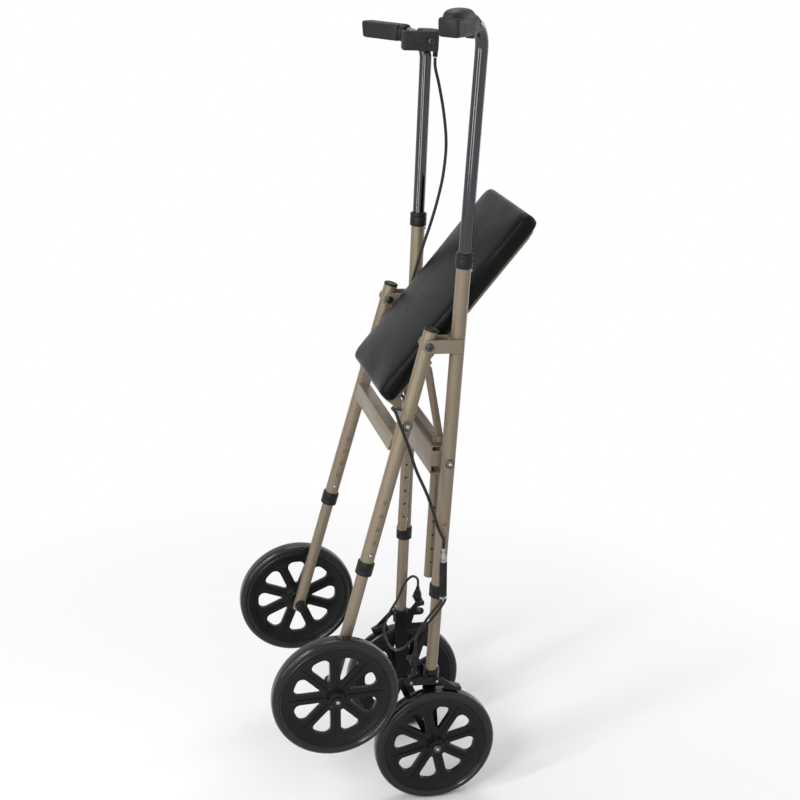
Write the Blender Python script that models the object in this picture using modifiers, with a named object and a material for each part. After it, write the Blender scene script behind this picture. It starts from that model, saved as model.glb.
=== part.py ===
"""Knee walker, folded up: two handle legs, two swing legs, a knee pad on sliding posts and four wheels.

Metres, +Z up. The user faces -X, so "left" is -Y and "right" is +Y. The origin is on the ground under
the middle of the walker. The driving dimensions come first, and every piece takes its place from them.
"""

import math

import bmesh
import bpy
from mathutils import Matrix, Vector

# How closely pieces lie together, and how finely round ones are cut
SEAT_GAP = 0.0003
TUBE_SIDES = 16
SMALL_SIDES = 12
HOLE_SIDES = 8
RIM_SIDES = 22
TYRE_SIDES = 36
SIDES = {"left": -1, "right": 1}

# Where the legs stand: the handle legs' axes cross x = LEG_X, and the hinge line lies behind them
LEG_X = 0.0762
HINGE_SETBACK = 0.0471
HINGE_HEIGHT = 0.8038
HINGE_HALF_WIDTH = 0.1291
HANDLE_LEG_SPLAY = math.radians(2.5)
SWING_LEG_SPLAY = math.radians(1.43)
SWING_LEG_RAKE = math.radians(12.8)

# Tubes: a leg's housing, and the smaller tube that slides in it
HOUSING_RADIUS = 0.0111
INNER_RADIUS = 0.00955
TUBE_WALL = 0.0012
COLLAR_WALL = 0.0024
COLLAR_HEIGHT = 0.022
COLLAR_SEAT = 0.015
COLLAR_CHAMFER = 0.0015

# Heights along the handle legs, from the ground
HANDLE_LEG_LOW = 0.3807
HANDLE_LEG_HIGH = 0.9383
LOWER_TUBE_END = 0.218
LOWER_TUBE_INSERTION = 0.098
LOWER_BUTTON_HEIGHT = 0.412
LOWER_HOLE_PITCH = 0.0238
LEG_HOLES = 5
HANDLE_BUTTON_HEIGHT = 0.919

# Lengths along the swing legs, from the hinge
SWING_LEG_TOP = 0.022
SWING_LEG_LENGTH = 0.3712
SWING_BUTTON_DROP = 0.3426
SWING_HOLE_PITCH = 0.0224
SWING_AXLE_DROP = 0.5754
SWING_TUBE_PAST_AXLE = 0.012

# Snap buttons
BUTTON_RADIUS = 0.003
BUTTON_HOLE_RADIUS = 0.0034
BUTTON_STANDS_OUT = 0.0024

# Handles
HANDLE_TUBE_LOW = 0.7202
HANDLE_CORNER = 1.276
RIGHT_HANDLE_DROP = 0.0508
HANDLE_HOLE_PITCH = 0.0254
HANDLE_BEND_RADIUS = 0.038
HANDLE_REACH = 0.112
HANDLE_TURN = math.radians(49)
GRIP_START = 0.047
GRIP_END = 0.118
GRIP_WIDTH = 0.030
GRIP_HEIGHT = 0.026
GRIP_ROUNDING = 0.0045
GRIP_RING_WIDTH = 0.0095
GRIP_RING_RADIUS = 0.0142
PALM_REST = (0.036, 0.0185, 0.024)

# Bolts
BOLT_RADIUS = 0.003
BOLT_HOLE_RADIUS = 0.0034
BOLT_HEAD_RADIUS = 0.006
BOLT_HEAD_HEIGHT = 0.0038

# Hinge clevises
CLEVIS_HEIGHT = 0.021
CLEVIS_EAR = 0.0026
CLEVIS_SIDE_GAP = 0.0008
CLEVIS_PAST_LEG = 0.004
CLEVIS_WEB = 0.0045

# Channel between the handle legs, with the posts of the knee pad through it
SHEET = 0.002
POST_CHANNEL_DEPTH = 0.024
POST_CHANNEL_LOW = 0.585
POST_CHANNEL_HIGH = 0.632
POST_CHANNEL_BOLT = 0.611
POST_CHANNEL_HALF_LENGTH = 0.1088
CHANNEL_TAB = (0.034, 0.026)
CHANNEL_TAB_SHEET = 0.003

# Channel between the swing legs
SWING_CHANNEL_DEPTH = 0.022
SWING_CHANNEL_NEAR = 0.151
SWING_CHANNEL_FAR = 0.177
SWING_CHANNEL_BOLT = 0.127
SWING_CHANNEL_EAR = 0.009

# Knee pad: a hinge on two posts, a base plate on two rails, and the cushion
POST_SETBACK = 0.010
POST_HALF_SPACING = 0.090
POST_RADIUS = 0.008
POST_LOW = 0.400
POST_HIGH = 0.646
POST_HOLE_RADIUS = 0.002
POST_HOLE_PITCH = 0.024
POST_HOLES = 5
POST_FIRST_HOLE = 0.027
PAD_HINGE_HEIGHT = 0.641
PAD_ROD_RADIUS = 0.004
PAD_SLOPE = math.radians(52.65)
PAD_FROM_HINGE = -0.0050
PAD_OVER_HINGE = 0.0975
PAD_LENGTH = 0.345
PAD_WIDTH = 0.200
PAD_THICKNESS = 0.034
PAD_PLATE = 0.003
PAD_PLATE_MARGIN = 0.006
PAD_CORNER = 0.020
RAIL_SIZE = 0.016
RAIL_HALF_SPACING = 0.050
RAIL_OVERHANG = 0.012
ARM_WIDTH = 0.012
ARM_THICKNESS = 0.003
ARM_HALF_SPACING = 0.101
ARM_FOOT = 0.0706
HOOK_RADIUS = 0.0055
HOOK_PIN_RADIUS = 0.004
HOOK_REACH = 0.0127
HOOK_DROP = 0.0311

# Wheels
WHEEL_RADIUS = 0.1016
TYRE_WIDTH = 0.026
TYRE_INNER_RADIUS = 0.0864
RIM_INNER_RADIUS = 0.069
RIM_WIDTH = 0.020
WEB_THICKNESS = 0.008
HUB_RADIUS = 0.013
HUB_OUTBOARD = 0.020
HUB_INBOARD = 0.012
SPOKES = 8
WINDOW_NEAR = 0.031
WINDOW_FAR = 0.0665
WINDOW_NEAR_HALF_WIDTH = 0.0053
WINDOW_FAR_HALF_WIDTH = 0.0168
AXLE_RADIUS = 0.004
AXLE_HEAD_RADIUS = 0.0075
AXLE_HEAD_HEIGHT = 0.0042
AXLE_NUT_HEIGHT = 0.0034
FRONT_WHEEL_AHEAD = 0.0112
FRONT_WHEEL_HALF_TRACK = 0.1117
SWING_WHEEL_OFFSET = 0.0272
SWING_AXLE_CAP_RADIUS = 0.010
SWING_AXLE_CAP_LENGTH = 0.0109

# Wheel brackets, with the brakes on them
BRACKET_INNER_FACE = 0.0897
BRACKET_THICKNESS = 0.004
SOCKET_WALL = 0.003
SOCKET_HEIGHT = 0.0235
SOCKET_FLOOR = 0.0033
STRIP_HALF_WIDTH = 0.0125
STAY_WIDTH = 0.012
STAY_REACH = 0.052
TIE_LOW = 0.206
TIE_HIGH = 0.215
BRAKE_PIVOT_HEIGHT = 0.2235
BRAKE_PIVOT_OFFSET = -0.006
BRAKE_PIN_RADIUS = 0.0025
BRAKE_ARM_HEIGHT = 0.013
BRAKE_ARM_THICKNESS = 0.003
BRAKE_ARM_REACH = 0.047
BRAKE_SIDE = 0.1189
BRAKE_CABLE_OUT = 0.031
BRAKE_CABLE_SIDE = 0.111
SHOE_GAP = 0.0035
SHOE_THICKNESS = 0.006
SHOE_WIDTH = 0.016
SHOE_REACH = 0.048
CABLE_STOP_HEIGHT = 0.2535
CABLE_STOP_THICKNESS = 0.003
BOOT_HEIGHT = 0.0195
BOOT_RADIUS = 0.007
BOOT_NECK_RADIUS = 0.0032
SPRING_RADIUS = 0.0039
SPRING_WIRE = 0.0006
SPRING_TURNS = 6

# Brake cable
SHEATH_RADIUS = 0.0025
BRANCH_RADIUS = 0.0022
WIRE_RADIUS = 0.0008
WIRE_SHORT_OF_STOP = 0.0035
SHEATH_STEP = 0.016
SHEATH_END_GAP = 0.0008
JUNCTION_OUT = 0.018
JUNCTION_HEIGHT = 0.425
JUNCTION_LEAN = math.radians(-3.8)
JUNCTION_RADIUS = 0.0031
JUNCTION_LENGTH = 0.0617
ADJUSTER_LENGTH = 0.0245
ADJUSTER_RADIUS = 0.0040

# Brake lever, on the right handle
LEVER_PIVOT_DROP = 0.0057
LEVER_LENGTH = 0.045
LEVER_HEIGHT = 0.030
LEVER_THICKNESS = 0.004
LEVER_PADDLE = 0.020
LEVER_PADDLE_DEPTH = 0.0175
LEVER_PIN_RADIUS = 0.0028
LEVER_CASE_HALF = (0.0145, 0.0180, 0.0165)
LEVER_CASE_FACE = 0.1215
FERRULE_RADIUS = 0.0042
FERRULE_LENGTH = 0.010
FERRULE_PLACE = (0.0135, 0.139)

# The frame of an outline drawn upright: its X is the walker's X, and its Y is up
UPRIGHT = Matrix.Rotation(math.pi / 2, 4, "X")


def new_scene():
    """Empties the scene and gives it one collection for the walker and one for the cutters."""
    for obj in list(bpy.data.objects):
        bpy.data.objects.remove(obj, do_unlink=True)
    made = []
    for name in ("knee_walker", "cutters"):
        collection = bpy.data.collections.new(name)
        bpy.context.scene.collection.children.link(collection)
        made.append(collection)
    return made


PARTS, CUTTERS = new_scene()


def material(name, colour, roughness, metallic=0.0):
    """A Principled material of one linear colour."""
    made = bpy.data.materials.new(name)
    made.use_nodes = True
    shader = made.node_tree.nodes["Principled BSDF"]
    shader.inputs["Base Color"].default_value = (*colour, 1)
    shader.inputs["Roughness"].default_value = roughness
    shader.inputs["Metallic"].default_value = metallic
    return made


BRONZE = material("bronze_paint", (0.175, 0.145, 0.108), 0.42, 0.55)
CHROME = material("chrome", (0.55, 0.55, 0.58), 0.12, 1.0)
STEEL = material("zinc_steel", (0.45, 0.45, 0.44), 0.35, 1.0)
BLACK = material("black_plastic", (0.022, 0.023, 0.022), 0.45)
BLACK_METAL = material("black_paint", (0.018, 0.019, 0.018), 0.4, 0.3)
RUBBER = material("black_rubber", (0.016, 0.017, 0.016), 0.6)
VINYL = material("black_vinyl", (0.022, 0.024, 0.022), 0.38)


def shift(x, y, z):
    return Matrix.Translation((x, y, z))


def turn(angle, axis):
    return Matrix.Rotation(angle, 4, axis)


def from_leg(x, y, z):
    """A place given from the point on the ground between the handle legs."""
    return shift(LEG_X + x, y, z)


def handle_leg_frame(side):
    """Z up the leg's axis, measured from the ground, and Y across the walker."""
    at_hinge = from_leg(0, side * HINGE_HALF_WIDTH, HINGE_HEIGHT)
    return at_hinge @ turn(-side * HANDLE_LEG_SPLAY, "X") @ shift(0, 0, -HINGE_HEIGHT)


def hinge_frame(side=0):
    """On the fold's hinge line, square to the walker."""
    return from_leg(-HINGE_SETBACK, side * HINGE_HALF_WIDTH, HINGE_HEIGHT)


def swing_leg_frame(side):
    """On the hinge line, with Z up the swing leg's axis."""
    return hinge_frame(side) @ turn(SWING_LEG_RAKE, "Y") @ turn(side * SWING_LEG_SPLAY, "X")


def outboard(side):
    """Turns Z to point away from the walker's middle."""
    return turn(-side * math.pi / 2, "X")


def add(name, data, frame, finish, parent=None, collection=PARTS):
    obj = bpy.data.objects.new(name, data)
    collection.objects.link(obj)
    obj.parent = parent
    obj.matrix_world = frame
    if finish and finish.name not in data.materials:
        data.materials.append(finish)
    return obj


def empty(name, frame):
    """A joint's place, which the pieces that move with it have as their parent."""
    obj = bpy.data.objects.new(name, None)
    PARTS.objects.link(obj)
    obj.matrix_world = frame
    return obj


def smooth(mesh):
    mesh.shade_smooth()
    mesh.set_sharp_from_angle(angle=math.radians(40))


def as_tool(obj):
    """Keeps a shape that cuts or joins out of the model itself."""
    for collection in list(obj.users_collection):
        collection.objects.unlink(obj)
    CUTTERS.objects.link(obj)
    obj.hide_render = True
    obj.display_type = "WIRE"
    return obj


def combine(target, tools, operation):
    for tool in tools:
        as_tool(tool)
        boolean = target.modifiers.new(tool.name, "BOOLEAN")
        boolean.operation = operation
        boolean.object = tool
    return target


def cut(target, *tools):
    return combine(target, tools, "DIFFERENCE")


def join(target, *tools):
    return combine(target, tools, "UNION")


def from_bmesh(name, build, frame, finish, parent=None):
    """An object whose mesh the build function makes in a bmesh."""
    bm = bmesh.new()
    build(bm)
    bmesh.ops.recalc_face_normals(bm, faces=bm.faces)
    mesh = bpy.data.meshes.new(name)
    bm.to_mesh(mesh)
    bm.free()
    return add(name, mesh, frame, finish, parent)


def turned(name, profile, frame, finish, sides=TUBE_SIDES, parent=None):
    """A profile of (radius, height) turned about Z, down its outer side and up its bore if it has one."""
    bored = min(radius for radius, _ in profile) > 0
    count = len(profile)
    edges = [(i, (i + 1) % count) for i in range(count if bored else count - 1)]
    mesh = bpy.data.meshes.new(name)
    mesh.from_pydata([(radius, 0, height) for radius, height in profile], edges, [])
    obj = add(name, mesh, frame, finish, parent)
    screw = obj.modifiers.new("turn", "SCREW")
    screw.steps = sides
    screw.render_steps = sides
    screw.use_merge_vertices = not bored
    screw.merge_threshold = 0.00001
    return obj


def pipe(name, radius, low, high, frame, finish, parent=None):
    """A straight tube along Z."""
    bore = radius - TUBE_WALL
    profile = [(radius, high), (radius, low), (bore, low), (bore, high)]
    return turned(name, profile, frame, finish, parent=parent)


def drill(name, radius, length, frame):
    """A round cutter, centred on its frame and running along Z."""
    def build(bm):
        bmesh.ops.create_cone(
            bm, cap_ends=True, segments=HOLE_SIDES, radius1=radius, radius2=radius, depth=length
        )
    return from_bmesh(name, build, frame, None)


def block(name, low, high, frame, finish, rounding=0.0, parent=None):
    """A box between two corners, with its edges rounded."""
    low, high = Vector(low), Vector(high)
    place = Matrix.Translation((low + high) / 2) @ Matrix.Diagonal((*(high - low), 1))

    def build(bm):
        bmesh.ops.create_cube(bm, size=1, matrix=place)
    obj = from_bmesh(name, build, frame, finish, parent)
    if rounding:
        bevel = obj.modifiers.new("rounding", "BEVEL")
        bevel.width = rounding
        bevel.segments = 2
        bevel.limit_method = "ANGLE"
    return obj


def arc(centre, radius, start, end, steps):
    """Points of an arc, from one angle to another in degrees."""
    points = []
    for i in range(steps + 1):
        angle = math.radians(start + (end - start) * i / steps)
        points.append((centre[0] + radius * math.cos(angle), centre[1] + radius * math.sin(angle)))
    return points


def capsule(start, end, radius, steps=6):
    """The outline of a strip with round ends."""
    direction = math.degrees(math.atan2(end[1] - start[1], end[0] - start[0]))
    near_end = arc(start, radius, direction + 90, direction + 270, steps)
    far_end = arc(end, radius, direction - 90, direction + 90, steps)
    return near_end + far_end


def rounded_rectangle(low, high, radius, steps=3):
    left, bottom = low[0] + radius, low[1] + radius
    right, top = high[0] - radius, high[1] - radius
    corners = [((right, top), 0), ((left, top), 90), ((left, bottom), 180), ((right, bottom), 270)]
    points = []
    for centre, start in corners:
        points += arc(centre, radius, start, start + 90, steps)
    return points


def u_section(low, high, sheet, opening="right"):
    """A channel's section, open on one side."""
    inner_low = (low[0] + sheet, low[1] + sheet)
    inner_high = (high[0] - sheet, high[1] - sheet)
    if opening == "right":
        return [
            low, (high[0], low[1]), (high[0], inner_low[1]), inner_low,
            (inner_low[0], inner_high[1]), (high[0], inner_high[1]), high, (low[0], high[1]),
        ]
    return [
        low, (inner_low[0], low[1]), (inner_low[0], inner_high[1]), inner_high,
        (inner_high[0], low[1]), (high[0], low[1]), high, (low[0], high[1]),
    ]


def as_mesh(obj, name, finish, parent=None):
    """A curve made a mesh with welded caps, in the same place. The curve goes."""
    bpy.context.view_layer.update()
    evaluated = obj.evaluated_get(bpy.context.evaluated_depsgraph_get())
    mesh = bpy.data.meshes.new_from_object(evaluated)
    frame = obj.matrix_world.copy()
    curve = obj.data
    bpy.data.objects.remove(obj)
    if isinstance(curve, bpy.types.Curve):
        bpy.data.curves.remove(curve)
    bm = bmesh.new()
    bm.from_mesh(mesh)
    bmesh.ops.remove_doubles(bm, verts=bm.verts, dist=0.000002)
    bmesh.ops.recalc_face_normals(bm, faces=bm.faces)
    bm.to_mesh(mesh)
    bm.free()
    mesh.name = name
    mesh.materials.clear()
    return add(name, mesh, frame, finish, parent)


def plate(name, outlines, thickness, frame, finish, parent=None):
    """Flat outlines in X and Y, the first the rim and the others its openings, centred on Z = 0."""
    curve = bpy.data.curves.new(name, "CURVE")
    curve.dimensions = "2D"
    curve.fill_mode = "BOTH"
    curve.extrude = thickness / 2
    for outline in outlines:
        spline = curve.splines.new("POLY")
        spline.points.add(len(outline) - 1)
        spline.use_cyclic_u = True
        for point, (x, y) in zip(spline.points, outline):
            point.co = (x, y, 0, 1)
    return as_mesh(add(name, curve, frame, None), name, finish, parent)


def swept(name, points, radius, frame, finish, resolution=2, capped=True, parent=None):
    """A round rod along a run of points."""
    curve = bpy.data.curves.new(name, "CURVE")
    curve.dimensions = "3D"
    curve.bevel_depth = radius
    curve.bevel_resolution = resolution
    curve.use_fill_caps = capped
    spline = curve.splines.new("POLY")
    spline.points.add(len(points) - 1)
    for point, place in zip(spline.points, points):
        point.co = (*place, 1)
    return as_mesh(add(name, curve, frame, None), name, finish, parent)


def bent(start, corner, end, radius, steps=8):
    """A straight run to each side of a corner that is bent to a radius."""
    start, corner, end = Vector(start), Vector(corner), Vector(end)
    first = (start - corner).normalized()
    second = (end - corner).normalized()
    half = first.angle(second) / 2
    centre = corner + (first + second).normalized() * (radius / math.sin(half))
    from_centre = corner + first * (radius / math.tan(half)) - centre
    axis = first.cross(second)
    sweep = math.pi - 2 * half
    arc_points = [
        centre + Matrix.Rotation(-sweep * i / steps, 3, axis) @ from_centre for i in range(steps + 1)
    ]
    return [start, *arc_points, end]


def smooth_route(places, step):
    """Even points along a smooth curve through a cable's places."""
    places = [Vector(place) for place in places]
    ends = [2 * places[0] - places[1], *places, 2 * places[-1] - places[-2]]
    fine = []
    for before, a, b, after in zip(ends, ends[1:], ends[2:], ends[3:]):
        for i in range(12):
            t = i / 12
            fine.append(0.5 * (
                2 * a + (b - before) * t + (2 * before - 5 * a + 4 * b - after) * t ** 2
                + (3 * a - before - 3 * b + after) * t ** 3
            ))
    fine.append(places[-1])
    reach = [0.0]
    for a, b in zip(fine, fine[1:]):
        reach.append(reach[-1] + (b - a).length)
    count = max(2, round(reach[-1] / step))
    points = []
    i = 0
    for k in range(count + 1):
        want = reach[-1] * k / count
        while i < len(fine) - 2 and reach[i + 1] < want:
            i += 1
        share = (want - reach[i]) / (reach[i + 1] - reach[i])
        points.append(fine[i].lerp(fine[i + 1], min(share, 1)))
    return points, reach[-1]


def collar(name, frame, parent=None):
    """A sleeve over the end of a housing, with a lip at its top that comes in to the sliding tube."""
    outer = HOUSING_RADIUS + COLLAR_WALL
    seat = HOUSING_RADIUS + SEAT_GAP
    lip = HOUSING_RADIUS - TUBE_WALL
    half = COLLAR_HEIGHT / 2
    step = COLLAR_SEAT - half + SEAT_GAP
    profile = [
        (outer - COLLAR_CHAMFER, half), (outer, half - COLLAR_CHAMFER), (outer, -half + COLLAR_CHAMFER),
        (outer - COLLAR_CHAMFER, -half), (seat, -half), (seat, step), (lip, step), (lip, half),
    ]
    return turned(name, profile, frame, BLACK, parent=parent)


def snap_button(name, frame, parent=None):
    """A domed pin in a housing's hole. Its frame is on the tube's axis, with Z out of the hole."""
    base = HOUSING_RADIUS - TUBE_WALL + SEAT_GAP / 3
    tip = HOUSING_RADIUS + BUTTON_STANDS_OUT
    profile = [
        (0, tip), (BUTTON_RADIUS * 0.6, tip - BUTTON_RADIUS * 0.15),
        (BUTTON_RADIUS, tip - BUTTON_RADIUS * 0.6), (BUTTON_RADIUS, base), (0, base),
    ]
    return turned(name, profile, frame, STEEL, SMALL_SIDES, parent)


def bolt(name, frame, grip, finish):
    """A bolt and its nut on a grip of this length, centred on its frame, with the head at +Z."""
    half = grip / 2 + SEAT_GAP
    head = half + BOLT_HEAD_HEIGHT
    profile = [
        (0, head), (BOLT_HEAD_RADIUS * 0.6, head), (BOLT_HEAD_RADIUS, head - BOLT_HEAD_HEIGHT * 0.5),
        (BOLT_HEAD_RADIUS, half), (BOLT_RADIUS, half), (BOLT_RADIUS, -half),
        (BOLT_HEAD_RADIUS * 0.92, -half), (BOLT_HEAD_RADIUS * 0.92, -head), (0, -head),
    ]
    return turned(name, profile, frame, finish, SMALL_SIDES)


def across(frame):
    """Turns Z to lie along the frame's Y."""
    return frame @ turn(-math.pi / 2, "X")


def hole_row(target, frame, first, pitch, count, radius=BUTTON_HOLE_RADIUS):
    """Holes through a tube's wall on its -Y side, one pitch apart along its axis."""
    for i in range(count):
        place = frame @ shift(0, -HOUSING_RADIUS, first + pitch * i)
        cut(target, drill(f"{target.name}_hole_{i}", radius, HOUSING_RADIUS * 1.6, across(place)))


def front_wheel_frame(side):
    place = from_leg(FRONT_WHEEL_AHEAD, side * FRONT_WHEEL_HALF_TRACK, WHEEL_RADIUS)
    return place @ outboard(side)


def swing_axle_point(side):
    """Where the swing leg's axis meets its wheel's axle."""
    return swing_leg_frame(side) @ Vector((0, 0, -SWING_AXLE_DROP))


def swing_wheel_frame(side):
    point = swing_axle_point(side)
    return shift(point.x, point.y + side * SWING_WHEEL_OFFSET, point.z) @ outboard(side)


def handle_legs():
    """The two fixed legs, with their collars, snap buttons and sliding lower tubes."""
    for label, side in SIDES.items():
        frame = handle_leg_frame(side)
        housing = pipe(f"{label}_handle_leg", HOUSING_RADIUS, HANDLE_LEG_LOW, HANDLE_LEG_HIGH, frame, BRONZE)
        hole_row(housing, frame, LOWER_BUTTON_HEIGHT, LOWER_HOLE_PITCH, LEG_HOLES)
        bolt_place = frame @ shift(0, 0, POST_CHANNEL_BOLT)
        cut(housing, drill(f"{label}_leg_bolt_hole", BOLT_HOLE_RADIUS, 0.04, across(bolt_place)))
        outlet = frame @ shift(0.01, 0, HANDLE_BUTTON_HEIGHT) @ turn(math.pi / 2, "Y")
        cut(housing, drill(f"{label}_handle_button_hole", BUTTON_HOLE_RADIUS, 0.02, outlet))

        seat = COLLAR_SEAT - COLLAR_HEIGHT / 2
        collar(f"{label}_handle_collar", frame @ shift(0, 0, HANDLE_LEG_HIGH - seat))
        low_collar = frame @ shift(0, 0, HANDLE_LEG_LOW + seat) @ turn(math.pi, "X")
        collar(f"{label}_lower_collar", low_collar)

        top = LOWER_BUTTON_HEIGHT + LOWER_TUBE_INSERTION
        lower = pipe(f"{label}_lower_tube", INNER_RADIUS, LOWER_TUBE_END, top, frame, BRONZE)
        button_place = frame @ shift(0, 0, LOWER_BUTTON_HEIGHT) @ turn(math.pi / 2, "X")
        hole_place = button_place @ shift(0, 0, 0.01)
        cut(lower, drill(f"{label}_lower_tube_hole", BUTTON_HOLE_RADIUS, 0.02, hole_place))
        snap_button(f"{label}_lower_snap_button", button_place)
        handle_place = frame @ shift(0, 0, HANDLE_BUTTON_HEIGHT) @ turn(math.pi / 2, "Y")
        snap_button(f"{label}_handle_snap_button", handle_place)


def swing_legs():
    """The two legs that fold out, with their caps, collars and sliding lower tubes."""
    fold = empty("fold_hinge", hinge_frame())
    for label, side in SIDES.items():
        frame = swing_leg_frame(side)
        housing = pipe(
            f"{label}_swing_leg", HOUSING_RADIUS, -SWING_LEG_LENGTH, SWING_LEG_TOP, frame, BRONZE, fold
        )
        hole_row(housing, frame, -SWING_BUTTON_DROP, SWING_HOLE_PITCH, LEG_HOLES)
        cut(housing, drill(f"{label}_hinge_hole", BOLT_HOLE_RADIUS, 0.04, across(hinge_frame(side))))
        rail_bolt = across(frame @ shift(0, 0, -SWING_CHANNEL_BOLT))
        cut(housing, drill(f"{label}_swing_bolt_hole", BOLT_HOLE_RADIUS, 0.04, rail_bolt))

        plug = HOUSING_RADIUS - TUBE_WALL - SEAT_GAP
        face = SWING_LEG_TOP + SEAT_GAP
        cap_profile = [
            (0, face + 0.004), (HOUSING_RADIUS * 0.8, face + 0.0034), (HOUSING_RADIUS, face + 0.0016),
            (HOUSING_RADIUS, face), (plug, face), (plug, face - 0.008), (0, face - 0.008),
        ]
        turned(f"{label}_swing_leg_cap", cap_profile, frame, BLACK, parent=fold)
        seat = COLLAR_SEAT - COLLAR_HEIGHT / 2
        low_collar = frame @ shift(0, 0, -SWING_LEG_LENGTH + seat) @ turn(math.pi, "X")
        collar(f"{label}_swing_collar", low_collar, fold)

        low = -SWING_AXLE_DROP - SWING_TUBE_PAST_AXLE
        high = -SWING_BUTTON_DROP + LOWER_TUBE_INSERTION
        lower = pipe(f"{label}_swing_tube", INNER_RADIUS, low, high, frame, BRONZE, fold)
        button_place = frame @ shift(0, 0, -SWING_BUTTON_DROP) @ turn(math.pi / 2, "X")
        hole_place = button_place @ shift(0, 0, 0.01)
        cut(lower, drill(f"{label}_swing_tube_hole", BUTTON_HOLE_RADIUS, 0.02, hole_place))
        axle_place = swing_wheel_frame(side) @ shift(0, 0, -SWING_WHEEL_OFFSET)
        cut(lower, drill(f"{label}_swing_axle_hole", AXLE_RADIUS + SEAT_GAP * 2, 0.04, axle_place))
        snap_button(f"{label}_swing_snap_button", button_place, fold)
    swing_channel(fold)


def swing_channel(fold):
    """The channel between the swing legs, with the bolts that hold it and their ears outside the legs."""
    frame = hinge_frame() @ turn(SWING_LEG_RAKE, "Y")
    half_depth = SWING_CHANNEL_DEPTH / 2
    reach = HINGE_HALF_WIDTH + SWING_CHANNEL_NEAR * math.tan(SWING_LEG_SPLAY)
    half_length = reach - HOUSING_RADIUS - SEAT_GAP - SHEET / 2
    section = u_section((-half_depth, -SWING_CHANNEL_FAR), (half_depth, -SWING_CHANNEL_NEAR), SHEET)
    channel = plate("swing_leg_channel", [section], 2 * half_length, frame @ UPRIGHT, BRONZE, fold)
    for label, side in SIDES.items():
        leg = swing_leg_frame(side)
        bolt_place = leg @ shift(0, 0, -SWING_CHANNEL_BOLT) @ outboard(side)
        inner = -HOUSING_RADIUS - SEAT_GAP
        tab_reach = SWING_CHANNEL_NEAR - SWING_CHANNEL_BOLT + 0.012
        tab_outline = capsule((0, 0), (0, tab_reach), SWING_CHANNEL_EAR)
        tab_place = bolt_place @ shift(0, 0, inner - CHANNEL_TAB_SHEET / 2)
        tab_place = tab_place @ turn(0 if side > 0 else math.pi, "Z")
        tab = plate(f"{label}_channel_tab", [tab_outline], CHANNEL_TAB_SHEET, tab_place, BRONZE)
        outer = HOUSING_RADIUS + SEAT_GAP
        face = outer + SHEET
        head = face + BOLT_HEAD_HEIGHT
        nut = inner - CHANNEL_TAB_SHEET / 2
        profile = [
            (0, head), (BOLT_HEAD_RADIUS * 0.6, head), (BOLT_HEAD_RADIUS, head - BOLT_HEAD_HEIGHT / 2),
            (BOLT_HEAD_RADIUS, face), (SWING_CHANNEL_EAR, face), (SWING_CHANNEL_EAR, outer),
            (BOLT_RADIUS, outer), (BOLT_RADIUS, nut), (0, nut),
        ]
        screw = turned(f"{label}_channel_bolt", profile, bolt_place, STEEL, SMALL_SIDES)
        join(channel, tab, screw)


def handle_leg_channel():
    """The channel between the handle legs. The pad's posts slide through both its flanges."""
    section = u_section((-POST_CHANNEL_DEPTH, POST_CHANNEL_LOW), (0, POST_CHANNEL_HIGH), SHEET)
    length = 2 * POST_CHANNEL_HALF_LENGTH - SHEET
    channel = plate("handle_leg_channel", [section], length, from_leg(0, 0, 0) @ UPRIGHT, BRONZE)
    for label, side in SIDES.items():
        tab_length, tab_height = CHANNEL_TAB
        outer = side * POST_CHANNEL_HALF_LENGTH
        inner = side * (POST_CHANNEL_HALF_LENGTH - SHEET)
        low = (-POST_CHANNEL_DEPTH, min(outer, inner), POST_CHANNEL_BOLT - tab_height / 2)
        high = (tab_length - POST_CHANNEL_DEPTH, max(outer, inner), POST_CHANNEL_BOLT + tab_height / 2)
        tab = block(f"{label}_tab", low, high, from_leg(0, 0, 0), BRONZE)
        leg_at_bolt = handle_leg_frame(side) @ Vector((0, 0, POST_CHANNEL_BOLT))
        inboard_reach = abs(leg_at_bolt.y) - POST_CHANNEL_HALF_LENGTH + SHEET / 2
        outboard_reach = HOUSING_RADIUS + SEAT_GAP
        head = outboard_reach + BOLT_HEAD_HEIGHT
        profile = [
            (0, head), (BOLT_HEAD_RADIUS * 0.6, head), (BOLT_HEAD_RADIUS, head - BOLT_HEAD_HEIGHT / 2),
            (BOLT_HEAD_RADIUS, outboard_reach), (BOLT_RADIUS, outboard_reach),
            (BOLT_RADIUS, -inboard_reach), (0, -inboard_reach),
        ]
        place = handle_leg_frame(side) @ shift(0, 0, POST_CHANNEL_BOLT) @ outboard(side)
        screw = turned(f"{label}_leg_bolt", profile, place, STEEL, SMALL_SIDES)
        join(channel, tab, screw)
        middle = (POST_CHANNEL_LOW + POST_CHANNEL_HIGH) / 2
        post_place = from_leg(-POST_SETBACK, side * POST_HALF_SPACING, middle)
        post_room = POST_RADIUS / math.cos(math.pi / HOLE_SIDES) + SEAT_GAP
        cut(channel, drill(f"{label}_post_hole", post_room, 0.08, post_place))


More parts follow.
